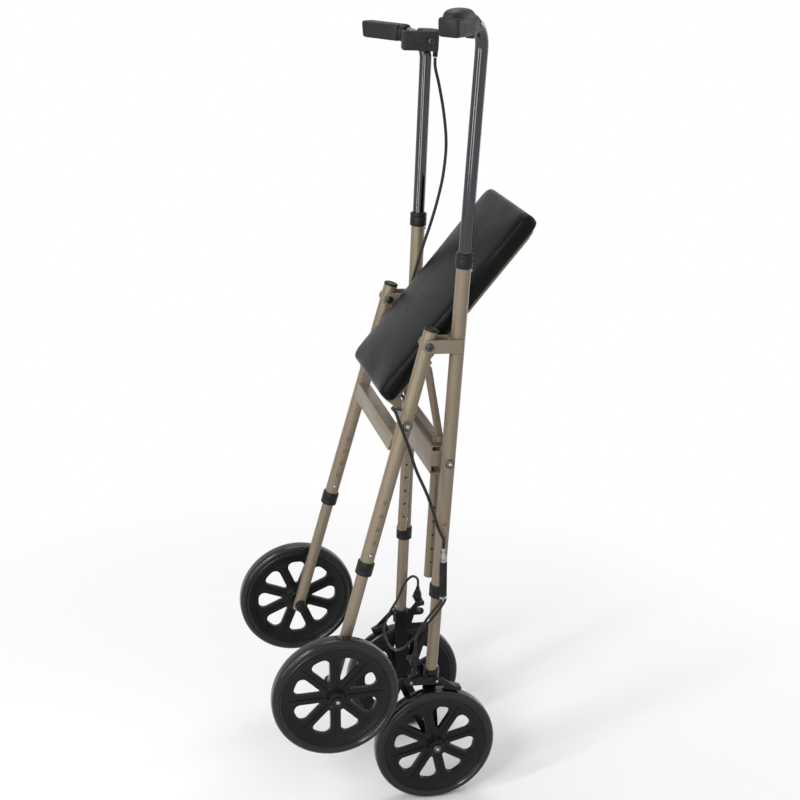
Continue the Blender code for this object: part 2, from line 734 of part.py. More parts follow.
def clevises():
    """The forks on the handle legs that the swing legs hinge in, and their bolts."""
    ear_offset = HOUSING_RADIUS + CLEVIS_SIDE_GAP + CLEVIS_EAR / 2
    for label, side in SIDES.items():
        frame = hinge_frame(side)
        radius = CLEVIS_HEIGHT / 2
        reach = HINGE_SETBACK + CLEVIS_PAST_LEG
        outline = arc((0, 0), radius, 90, 270, 8) + [(reach, -radius), (reach, radius)]
        ears = []
        for place in (-ear_offset, ear_offset):
            ear_frame = frame @ shift(0, place, 0) @ UPRIGHT
            ears.append(plate(f"{label}_clevis", [outline], CLEVIS_EAR, ear_frame, BRONZE))
        web_high = HINGE_SETBACK - HOUSING_RADIUS - SEAT_GAP
        web = block(
            f"{label}_clevis_web", (web_high - CLEVIS_WEB, -ear_offset, -radius),
            (web_high, ear_offset, radius), frame, BRONZE,
        )
        fork = join(ears[0], ears[1], web)
        fork.name = f"{label}_clevis"
        cut(fork, drill(f"{label}_clevis_hole", BOLT_HOLE_RADIUS, 0.05, across(frame)))
        width = 2 * ear_offset + CLEVIS_EAR
        bolt(f"{label}_hinge_bolt", frame @ outboard(side), width, STEEL)


def handle_path(side):
    """The handle tube's run in its leg's frame: up the leg, round the bend and out to the grip."""
    corner = HANDLE_CORNER
    low = HANDLE_TUBE_LOW
    if side > 0:
        corner -= RIGHT_HANDLE_DROP
        low -= RIGHT_HANDLE_DROP
    level = handle_leg_frame(side).to_3x3().inverted() @ grip_direction(side)
    tip = Vector((0, 0, corner)) + level * HANDLE_REACH
    return bent((0, 0, low), (0, 0, corner), tip, HANDLE_BEND_RADIUS)


def grip_direction(side):
    return Vector((-math.cos(HANDLE_TURN), side * math.sin(HANDLE_TURN), 0))


def grip_frame(side):
    """At the handle's corner, with X out along the grip and Z up."""
    path = handle_path(side)
    tip = handle_leg_frame(side) @ path[-1]
    corner = tip - grip_direction(side) * HANDLE_REACH
    heading = math.pi - side * HANDLE_TURN
    return Matrix.Translation(corner) @ turn(heading, "Z")


def handles():
    """The bent handle tubes and their grips, at the heights that each is set to."""
    for label, side in SIDES.items():
        frame = handle_leg_frame(side)
        path = handle_path(side)
        tube = swept(f"{label}_handle_tube", path, INNER_RADIUS, frame, CHROME, 5, False)
        wall = tube.modifiers.new("wall", "SOLIDIFY")
        wall.thickness = TUBE_WALL
        wall.offset = -1
        wall.use_even_offset = True
        for i in range(LEG_HOLES):
            step = i if side < 0 else i - LEG_HOLES // 2
            height = HANDLE_BUTTON_HEIGHT + HANDLE_HOLE_PITCH * step
            place = frame @ shift(0.01, 0, height) @ turn(math.pi / 2, "Y")
            cut(tube, drill(f"{label}_handle_hole_{i}", BUTTON_HOLE_RADIUS, 0.012, place))

        grip_place = grip_frame(side)
        half_width, half_height = GRIP_WIDTH / 2, GRIP_HEIGHT / 2
        grip = block(
            f"{label}_grip", (GRIP_START, -half_width, -half_height), (GRIP_END, half_width, half_height),
            grip_place, RUBBER, GRIP_ROUNDING,
        )
        bore = INNER_RADIUS + SEAT_GAP
        ring_profile = [
            (GRIP_RING_RADIUS, GRIP_START + 0.0006), (GRIP_RING_RADIUS, GRIP_START - GRIP_RING_WIDTH),
            (bore, GRIP_START - GRIP_RING_WIDTH), (bore, GRIP_START + 0.0006),
        ]
        along = grip_place @ turn(math.pi / 2, "Y")
        ring = turned(f"{label}_grip_ring", ring_profile, along, RUBBER)
        join(grip, ring)
        if side < 0:
            rest_place = grip_place @ shift((GRIP_START + GRIP_END) / 2, 0, 0)
            join(grip, palm_rest(f"{label}_palm_rest", rest_place))
        depth = HANDLE_REACH + SEAT_GAP
        bore_place = along @ shift(0, 0, depth - 0.04)

        def build(bm, radius=bore):
            bmesh.ops.create_cone(
                bm, cap_ends=True, segments=TUBE_SIDES, radius1=radius, radius2=radius, depth=0.08
            )
        cut(grip, from_bmesh(f"{label}_grip_bore", build, bore_place, None))
    brake_lever()


def palm_rest(name, frame):
    """The swell on top of a grip, flat under it."""
    def build(bm):
        size = Matrix.Diagonal((*PALM_REST, 1))
        bmesh.ops.create_uvsphere(bm, u_segments=16, v_segments=8, radius=1, matrix=size)
        plane = (0, 0, 0)
        everything = bm.verts[:] + bm.edges[:] + bm.faces[:]
        bmesh.ops.bisect_plane(bm, geom=everything, plane_co=plane, plane_no=(0, 0, 1), clear_inner=True)
        rim = [edge for edge in bm.edges if edge.is_boundary]
        bmesh.ops.contextual_create(bm, geom=rim)
    return from_bmesh(name, build, frame, RUBBER)


def brake_lever():
    """The lever's case round the right handle's bend, with its pivot bolt, and the lever."""
    pivot_height = HANDLE_CORNER - RIGHT_HANDLE_DROP - LEVER_PIVOT_DROP
    frame = from_leg(0, LEVER_CASE_FACE, pivot_height)
    half_x, depth, half_z = LEVER_CASE_HALF
    case = block(
        "brake_lever_case", (-half_x, 0, -half_z), (half_x, 2 * depth, half_z), frame, BLACK, 0.003
    )
    ferrule_place = from_leg(*FERRULE_PLACE, pivot_height - half_z - FERRULE_LENGTH / 2)
    half = FERRULE_LENGTH / 2
    ferrule_profile = [
        (0, half + 0.004), (FERRULE_RADIUS, half + 0.004), (FERRULE_RADIUS, -half + 0.002),
        (FERRULE_RADIUS * 0.8, -half), (0, -half),
    ]
    ferrule = turned("lever_ferrule", ferrule_profile, ferrule_place, BLACK, SMALL_SIDES)
    reach = SEAT_GAP * 2 + LEVER_THICKNESS
    pin_profile = [
        (0, reach + BOLT_HEAD_HEIGHT), (BOLT_HEAD_RADIUS * 0.6, reach + BOLT_HEAD_HEIGHT),
        (BOLT_HEAD_RADIUS, reach + BOLT_HEAD_HEIGHT / 2), (BOLT_HEAD_RADIUS, reach),
        (LEVER_PIN_RADIUS, reach), (LEVER_PIN_RADIUS, -0.004), (0, -0.004),
    ]
    pin = turned("lever_pin", pin_profile, frame @ outboard(-1), BLACK, SMALL_SIDES)
    join(case, ferrule, pin)
    tube_room = INNER_RADIUS / math.cos(math.pi / 14) + SEAT_GAP
    cut(case, swept("handle_room", handle_path(1), tube_room, handle_leg_frame(1), None, 5))

    middle = -SEAT_GAP - LEVER_THICKNESS / 2
    past_pivot = BOLT_HEAD_RADIUS + 0.0035
    outline = rounded_rectangle((-LEVER_LENGTH, -LEVER_HEIGHT / 2), (past_pivot, LEVER_HEIGHT / 2), 0.004)
    hole = arc((0, 0), LEVER_PIN_RADIUS + SEAT_GAP * 1.5, 0, 330, 11)
    lever_place = frame @ shift(0, middle, 0) @ UPRIGHT
    lever = plate("brake_lever", [outline, hole], LEVER_THICKNESS, lever_place, BLACK)
    paddle = block(
        "lever_paddle", (-LEVER_LENGTH, -SEAT_GAP - LEVER_THICKNESS + 0.001, -LEVER_HEIGHT / 2),
        (-LEVER_LENGTH + LEVER_PADDLE, LEVER_PADDLE_DEPTH - LEVER_THICKNESS, LEVER_HEIGHT / 2),
        frame, BLACK, 0.003,
    )
    join(lever, paddle)


def pad_hinge_frame():
    return from_leg(-POST_SETBACK, 0, PAD_HINGE_HEIGHT)


def pad_frame_place():
    """At the pad's lower end, with X up its slope and Z out of its cushion."""
    return pad_hinge_frame() @ turn(-PAD_SLOPE, "Y") @ shift(-PAD_FROM_HINGE, 0, PAD_OVER_HINGE)


def pad_posts():
    """Two tubes that slide through the channel, joined by the rod that the pad turns on."""
    posts = []
    for label, side in SIDES.items():
        frame = from_leg(-POST_SETBACK, side * POST_HALF_SPACING, 0)
        post = pipe(f"{label}_post", POST_RADIUS, POST_LOW, POST_HIGH, frame, BRONZE)
        hole_row(post, frame, POST_LOW + POST_FIRST_HOLE, POST_HOLE_PITCH, POST_HOLES, POST_HOLE_RADIUS)
        posts.append(post)
    half = ARM_HALF_SPACING + ARM_THICKNESS / 2 + SEAT_GAP
    head = half + 0.0018
    head_radius = PAD_ROD_RADIUS + 0.0018
    profile = [
        (0, head), (head_radius, head), (head_radius, half), (PAD_ROD_RADIUS, half),
        (PAD_ROD_RADIUS, -half), (head_radius, -half), (head_radius, -head), (0, -head),
    ]
    rod = turned("pad_posts", profile, across(pad_hinge_frame()), BRONZE, SMALL_SIDES)
    join(rod, *posts)


def knee_pad():
    """The base plate with its rails, arms and hooks, and the cushion on it."""
    hinge = empty("pad_hinge", pad_hinge_frame())
    place = pad_frame_place()
    half_width = PAD_WIDTH / 2
    plate_low = (PAD_PLATE_MARGIN, -half_width + PAD_PLATE_MARGIN)
    plate_high = (PAD_LENGTH - PAD_PLATE_MARGIN, half_width - PAD_PLATE_MARGIN)
    underside = -SEAT_GAP - PAD_PLATE
    base = plate(
        "pad_base", [rounded_rectangle(plate_low, plate_high, PAD_CORNER)], PAD_PLATE,
        place @ shift(0, 0, -SEAT_GAP - PAD_PLATE / 2), BRONZE, hinge,
    )
    rail_length = PAD_LENGTH - PAD_PLATE_MARGIN * 2
    rail_middle = rail_length / 2 - RAIL_OVERHANG
    rail_bottom = underside - RAIL_SIZE
    for label, side in SIDES.items():
        rail_y = side * RAIL_HALF_SPACING
        rail_top = underside + 0.0004
        section = u_section((-RAIL_SIZE / 2, rail_bottom), (RAIL_SIZE / 2, rail_top), SHEET, "down")
        rail_place = place @ shift(rail_middle, rail_y, 0) @ turn(math.pi / 2, "Z") @ UPRIGHT
        rail = plate(f"{label}_rail", [section], rail_length, rail_place, BRONZE)
        hook_outline = capsule((-HOOK_REACH, -HOOK_DROP), (0.006, rail_bottom + 0.006), HOOK_RADIUS)
        hook_place = place @ shift(0, rail_y + side * (RAIL_SIZE / 2 - SHEET / 2), 0) @ UPRIGHT
        hook = plate(f"{label}_hook", [hook_outline], SHEET, hook_place, BRONZE)
        pin_half = RAIL_SIZE / 2
        pin_profile = [
            (0, pin_half), (HOOK_PIN_RADIUS, pin_half), (HOOK_PIN_RADIUS, -pin_half), (0, -pin_half),
        ]
        pin_place = across(place @ shift(-HOOK_REACH, rail_y, -HOOK_DROP))
        pin = turned(f"{label}_hook_pin", pin_profile, pin_place, STEEL, SMALL_SIDES)

        arm_top = underside - ARM_WIDTH / 2 + PAD_PLATE / 2
        arm_outline = capsule((PAD_FROM_HINGE, -PAD_OVER_HINGE), (ARM_FOOT, arm_top), ARM_WIDTH / 2)
        arm_place = place @ shift(0, side * ARM_HALF_SPACING, 0) @ UPRIGHT
        eye = arc((PAD_FROM_HINGE, -PAD_OVER_HINGE), PAD_ROD_RADIUS + SEAT_GAP * 1.5, 0, 330, 11)
        arm = plate(f"{label}_arm", [arm_outline, eye], ARM_THICKNESS, arm_place, BRONZE)
        foot_inner = side * (half_width - PAD_PLATE_MARGIN - 0.012)
        foot_outer = side * (ARM_HALF_SPACING + ARM_THICKNESS / 4)
        foot_low = (ARM_FOOT - ARM_WIDTH, min(foot_inner, foot_outer), underside - PAD_PLATE)
        foot_high = (ARM_FOOT + ARM_WIDTH, max(foot_inner, foot_outer), underside + PAD_PLATE / 4)
        foot = block(f"{label}_arm_foot", foot_low, foot_high, place, BRONZE)
        join(base, rail, hook, pin, arm, foot)
    cushion(place, hinge)


def cushion(place, parent):
    """A crowned pad whose corners are round in plan and whose sides draw in towards its top and its base."""
    squareness = 7
    cells = 8

    def build(bm):
        bmesh.ops.create_cube(bm, size=2)
        bmesh.ops.subdivide_edges(bm, edges=bm.edges[:], cuts=cells, use_grid_fill=True)
        for vert in bm.verts:
            along, over, up = vert.co
            rim = max(abs(along), abs(over))
            corner = (abs(along) ** squareness + abs(over) ** squareness) ** (1 / squareness)
            scale = rim / corner if corner else 1
            rise = (up + 1) / 2
            draw_in = 1 - 0.09 * rise ** 5 * rim ** 2 - 0.03 * (1 - rise) ** 3
            height = PAD_THICKNESS * rise * (1 - 0.25 * rim ** 5)
            x = PAD_LENGTH / 2 * (1 + along * scale * draw_in)
            y = PAD_WIDTH / 2 * over * scale * draw_in
            vert.co = (x, y, height)
    obj = from_bmesh("knee_cushion", build, place, VINYL, parent)
    smooth(obj.data)


def rim_mesh():
    """A spoked wheel centre, with its outboard side at +Z, joined and cut once for all four wheels."""
    web, half_rim = WEB_THICKNESS / 2, RIM_WIDTH / 2
    bore = AXLE_RADIUS + SEAT_GAP
    rim_outer = TYRE_INNER_RADIUS * math.cos(math.pi / TYRE_SIDES) - SEAT_GAP
    profile = [
        (rim_outer, half_rim), (rim_outer, -half_rim), (RIM_INNER_RADIUS, -half_rim),
        (RIM_INNER_RADIUS - 0.002, -web), (HUB_RADIUS + 0.003, -web), (HUB_RADIUS, -HUB_INBOARD),
        (bore, -HUB_INBOARD), (bore, HUB_OUTBOARD), (HUB_RADIUS - 0.002, HUB_OUTBOARD),
        (HUB_RADIUS + 0.003, web), (RIM_INNER_RADIUS - 0.002, web), (RIM_INNER_RADIUS, half_rim),
    ]
    rim = turned("wheel_rim", profile, Matrix.Identity(4), BLACK, RIM_SIDES)
    near, far = WINDOW_NEAR, WINDOW_FAR
    small, large = WINDOW_NEAR_HALF_WIDTH, WINDOW_FAR_HALF_WIDTH
    rounding = 0.006
    outline = [(near, small * 0.5), (near + 0.004, small), (far - rounding, large), (far, large - rounding)]
    outline += [(x, -y) for x, y in reversed(outline)]
    for i in range(SPOKES):
        heading = turn(2 * math.pi * (i + 0.5) / SPOKES, "Z")
        cut(rim, plate(f"window_{i}", [outline], 0.03, heading, None))
    joined = as_mesh(rim, "wheel_rim", BLACK)
    mesh = joined.data
    smooth(mesh)
    bpy.data.objects.remove(joined)
    return mesh


def tyre_mesh():
    """A tyre with a flat tread and rounded shoulders, turned once for all four wheels."""
    half = TYRE_WIDTH / 2
    seat_half = RIM_WIDTH / 2 + 0.0015
    profile = [
        (WHEEL_RADIUS, half * 0.5), (WHEEL_RADIUS, -half * 0.5), (WHEEL_RADIUS - 0.0035, -half * 0.88),
        (WHEEL_RADIUS - 0.009, -half), (TYRE_INNER_RADIUS, -seat_half), (TYRE_INNER_RADIUS, seat_half),
        (WHEEL_RADIUS - 0.009, half), (WHEEL_RADIUS - 0.0035, half * 0.88),
    ]
    tyre = as_mesh(turned("tyre", profile, Matrix.Identity(4), RUBBER, TYRE_SIDES), "tyre", RUBBER)
    mesh = tyre.data
    smooth(mesh)
    bpy.data.objects.remove(tyre)
    return mesh


def axle_head(face):
    """A bolt's head outboard of the hub."""
    head = face + AXLE_HEAD_HEIGHT
    return [
        (0, head), (AXLE_HEAD_RADIUS * 0.7, head), (AXLE_HEAD_RADIUS, head - AXLE_HEAD_HEIGHT * 0.4),
        (AXLE_HEAD_RADIUS, face), (AXLE_RADIUS, face),
    ]


def wheels():
    """Four wheels on their axles: the braked ones under the handle legs, the others under the swing legs."""
    rim, tyre = rim_mesh(), tyre_mesh()
    face = HUB_OUTBOARD + SEAT_GAP
    for label, side in SIDES.items():
        places = {"front": front_wheel_frame(side), "swing": swing_wheel_frame(side)}
        for kind, frame in places.items():
            add(f"{label}_{kind}_rim", rim, frame, BLACK)
            add(f"{label}_{kind}_tyre", tyre, frame, RUBBER)

        nut = FRONT_WHEEL_HALF_TRACK - BRACKET_INNER_FACE + SEAT_GAP
        front_profile = axle_head(face) + [
            (AXLE_RADIUS, -nut), (AXLE_HEAD_RADIUS, -nut), (AXLE_HEAD_RADIUS, -nut - AXLE_NUT_HEIGHT),
            (0, -nut - AXLE_NUT_HEIGHT),
        ]
        turned(f"{label}_front_axle", front_profile, places["front"], STEEL, SMALL_SIDES)

        tube_face = INNER_RADIUS / math.cos(SWING_LEG_SPLAY) + SEAT_GAP * 2
        spacer_near = -SWING_WHEEL_OFFSET + tube_face
        spacer_far = -HUB_INBOARD - SEAT_GAP
        cap_near = -SWING_WHEEL_OFFSET - tube_face
        cap_far = cap_near - SWING_AXLE_CAP_LENGTH
        swing_profile = axle_head(face) + [
            (AXLE_RADIUS, spacer_far), (AXLE_HEAD_RADIUS, spacer_far), (AXLE_HEAD_RADIUS, spacer_near),
            (AXLE_RADIUS, spacer_near), (AXLE_RADIUS, cap_near), (SWING_AXLE_CAP_RADIUS, cap_near),
            (SWING_AXLE_CAP_RADIUS * 0.85, cap_far), (0, cap_far),
        ]
        turned(f"{label}_swing_axle", swing_profile, places["swing"], BLACK, SMALL_SIDES)


def brake_frame(side):
    """Half a turn takes one side's bracket to the other's: X runs out along the brake arm, Y outboard."""
    return from_leg(0, 0, 0) @ turn(0 if side > 0 else math.pi, "Z")


def bracket_outlines(side):
    """The wheel bracket's plate and the opening between its strip and its stay."""
    axle_x = side * FRONT_WHEEL_AHEAD
    boss = STRIP_HALF_WIDTH
    stop_low = BRAKE_CABLE_OUT - 0.0075
    stop_high = BRAKE_CABLE_OUT + 0.0075
    socket_top = LOWER_TUBE_END - SOCKET_FLOOR + SOCKET_HEIGHT
    stop_top = CABLE_STOP_HEIGHT + CABLE_STOP_THICKNESS + 0.0004
    rim = [
        (STRIP_HALF_WIDTH - 0.002, socket_top), (-STRIP_HALF_WIDTH, socket_top),
        (-STRIP_HALF_WIDTH, TIE_LOW - 0.003),
        *arc((axle_x, WHEEL_RADIUS), boss, 180, 360, 8),
        (STAY_REACH, TIE_LOW + 0.001), (STAY_REACH - 0.004, TIE_HIGH), (STRIP_HALF_WIDTH + 0.0045, TIE_HIGH),
        (stop_low + 0.002, CABLE_STOP_HEIGHT - 0.006), (stop_high, CABLE_STOP_HEIGHT - 0.003),
        (stop_high, stop_top), (stop_low, stop_top),
    ]
    hole_low = WHEEL_RADIUS + 0.029
    share = (hole_low - WHEEL_RADIUS) / (TIE_LOW - WHEEL_RADIUS)
    stay_edge = axle_x + boss + (STAY_REACH - axle_x - boss) * share
    opening = [
        (STRIP_HALF_WIDTH - 0.003, TIE_LOW), (STAY_REACH - STAY_WIDTH, TIE_LOW),
        (stay_edge - STAY_WIDTH, hole_low),
    ]
    return [rim, opening]


def wheel_brackets():
    """Each handle leg's foot: a socket, a plate down to the axle, and the stop of the brake's cable."""
    for label, side in SIDES.items():
        frame = brake_frame(side)
        middle = BRACKET_INNER_FACE + BRACKET_THICKNESS / 2
        bracket = plate(
            f"{label}_wheel_bracket", bracket_outlines(side), BRACKET_THICKNESS,
            frame @ shift(0, middle, 0) @ UPRIGHT, BLACK_METAL,
        )
        leg = handle_leg_frame(side)
        bore = INNER_RADIUS + SEAT_GAP
        outer = bore + SOCKET_WALL
        floor = LOWER_TUBE_END - SEAT_GAP
        low = LOWER_TUBE_END - SOCKET_FLOOR
        cup_profile = [(0, low + SOCKET_HEIGHT), (outer, low + SOCKET_HEIGHT), (outer, low), (0, low)]
        cup = turned(f"{label}_socket", cup_profile, leg, BLACK_METAL)
        hollow_top = low + SOCKET_HEIGHT + 0.01
        hollow_profile = [(0, hollow_top), (bore, hollow_top), (bore, floor), (0, floor)]
        hollow = turned(f"{label}_socket_hollow", hollow_profile, leg, None)
        half_width = BOOT_RADIUS + 0.0003
        stop_low = (BRAKE_CABLE_OUT - half_width, BRACKET_INNER_FACE + 0.002, CABLE_STOP_HEIGHT)
        stop_high = (
            BRAKE_CABLE_OUT + half_width, BRAKE_CABLE_SIDE + half_width, CABLE_STOP_HEIGHT + CABLE_STOP_THICKNESS
        )
        stop = block(f"{label}_cable_stop", stop_low, stop_high, frame, BLACK_METAL)
        boot_base = CABLE_STOP_HEIGHT + CABLE_STOP_THICKNESS - 0.0005
        boot_profile = [
            (0, boot_base + BOOT_HEIGHT), (BOOT_NECK_RADIUS, boot_base + BOOT_HEIGHT),
            (BOOT_NECK_RADIUS, boot_base + BOOT_HEIGHT * 0.7), (BOOT_RADIUS, boot_base + BOOT_HEIGHT * 0.28),
            (BOOT_RADIUS, boot_base), (0, boot_base),
        ]
        cable_place = frame @ shift(BRAKE_CABLE_OUT, BRAKE_CABLE_SIDE, 0)
        boot = turned(f"{label}_boot", boot_profile, cable_place, RUBBER, SMALL_SIDES)
        pin_inner = BRAKE_SIDE - 0.006
        pin_face = BRAKE_SIDE + BRAKE_ARM_THICKNESS / 2 + SEAT_GAP
        pin_profile = [
            (0, pin_face + 0.003), (0.005, pin_face + 0.003), (0.005, pin_face), (BRAKE_PIN_RADIUS, pin_face),
            (BRAKE_PIN_RADIUS, pin_inner), (0, pin_inner),
        ]
        pin_place = frame @ shift(BRAKE_PIVOT_OFFSET, 0, BRAKE_PIVOT_HEIGHT) @ outboard(1)
        pin = turned(f"{label}_brake_pin", pin_profile, pin_place, STEEL, SMALL_SIDES)
        join(bracket, cup, stop, boot, pin)
        cut(bracket, hollow)
        stop_place = cable_place @ shift(0, 0, CABLE_STOP_HEIGHT)
        wire_room = drill(f"{label}_wire_room", WIRE_RADIUS * 2, 0.06, stop_place)
        axle_place = frame @ shift(side * FRONT_WHEEL_AHEAD, BRACKET_INNER_FACE, WHEEL_RADIUS)
        axle_hole = drill(f"{label}_axle_hole", AXLE_RADIUS + SEAT_GAP * 2, 0.02, across(axle_place))
        cut(bracket, wire_room, axle_hole)


def brake_arms():
    """The arms that press a shoe on each front tyre, pulled up by the cable against a spring."""
    for label, side in SIDES.items():
        frame = brake_frame(side)
        pivot = (BRAKE_PIVOT_OFFSET, BRAKE_PIVOT_HEIGHT)
        axle = (side * FRONT_WHEEL_AHEAD, WHEEL_RADIUS)
        inner = WHEEL_RADIUS + SHOE_GAP
        outer = inner + SHOE_THICKNESS
        middle = math.degrees(math.acos((-SHOE_REACH + 0.012 - axle[0]) / outer))
        half_angle = 7.5
        band = arc(axle, outer, middle - half_angle, middle + half_angle, 4)
        band += arc(axle, inner, middle + half_angle, middle - half_angle, 4)
        shoe_inner = BRAKE_SIDE + BRAKE_ARM_THICKNESS / 2 - SHOE_WIDTH
        shoe_place = frame @ shift(0, shoe_inner + SHOE_WIDTH / 2, 0) @ UPRIGHT
        shoe = plate(f"{label}_brake_shoe", [band], SHOE_WIDTH, shoe_place, RUBBER)
        strip_end = arc(axle, (inner + outer) / 2, middle, middle, 1)[0]
        reach = (BRAKE_ARM_REACH - BRAKE_ARM_HEIGHT / 2, BRAKE_PIVOT_HEIGHT)
        eye = arc(pivot, BRAKE_PIN_RADIUS + SEAT_GAP * 1.5, 0, 330, 11)
        arm_place = frame @ shift(0, BRAKE_SIDE, 0) @ UPRIGHT
        outline = capsule(pivot, reach, BRAKE_ARM_HEIGHT / 2)
        arm = plate(f"{label}_brake_arm", [outline, eye], BRAKE_ARM_THICKNESS, arm_place, BLACK_METAL)
        branch_start = (pivot[0] - BRAKE_PIN_RADIUS - 0.005, pivot[1])
        branch = plate(
            f"{label}_shoe_branch", [capsule(branch_start, strip_end, 0.004)], BRAKE_ARM_THICKNESS * 0.9,
            arm_place, BLACK_METAL,
        )
        seat_low = (BRAKE_CABLE_OUT - 0.0075, BRAKE_CABLE_SIDE - 0.006, BRAKE_PIVOT_HEIGHT + 0.0035)
        seat_high = (BRAKE_CABLE_OUT + 0.0075, BRAKE_SIDE, BRAKE_PIVOT_HEIGHT + BRAKE_ARM_HEIGHT / 2)
        seat = block(f"{label}_spring_seat", seat_low, seat_high, frame, BLACK_METAL)
        cable_place = frame @ shift(BRAKE_CABLE_OUT, BRAKE_CABLE_SIDE, 0)
        wire_low = BRAKE_PIVOT_HEIGHT + 0.004
        wire_high = CABLE_STOP_HEIGHT - WIRE_SHORT_OF_STOP
        wire_profile = [(0, wire_high), (WIRE_RADIUS, wire_high), (WIRE_RADIUS, wire_low), (0, wire_low)]
        wire = turned(f"{label}_brake_wire", wire_profile, cable_place, STEEL, HOLE_SIDES)
        join(arm, branch, shoe, seat, wire)

        low = BRAKE_PIVOT_HEIGHT + BRAKE_ARM_HEIGHT / 2 + SEAT_GAP + SPRING_WIRE
        high = CABLE_STOP_HEIGHT - SEAT_GAP - SPRING_WIRE
        coil = helix(SPRING_RADIUS, low, high, SPRING_TURNS)
        swept(f"{label}_brake_spring", coil, SPRING_WIRE, cable_place, STEEL, 0)
        if side < 0:
            print(f"brake spring: least gap to itself {least_gap(coil, SPRING_WIRE, 9) * 1000:.2f} mm")


def helix(radius, low, high, turns, points_per_turn=9):
    count = turns * points_per_turn
    points = []
    for i in range(count + 1):
        angle = 2 * math.pi * i / points_per_turn
        height = low + (high - low) * i / count
        points.append((radius * math.cos(angle), radius * math.sin(angle), height))
    return points


def least_gap(points, radius, points_per_turn):
    """The least clear distance between points more than half a turn apart along a wound wire."""
    apart = points_per_turn // 2 + 1
    places = [Vector(point) for point in points]
    nearest = min(
        (a - b).length for i, a in enumerate(places) for b in places[i + apart:]
    )
    return nearest - 2 * radius


def junction_frame():
    """Beside the left handle leg, where the lever's cable meets the two that go to the wheels."""
    place = handle_leg_frame(-1) @ shift(0.0015, -JUNCTION_OUT, JUNCTION_HEIGHT)
    return place @ turn(JUNCTION_LEAN, "Y")


def walker_point(x, y, z):
    return from_leg(0, 0, 0) @ Vector((x, y, z))


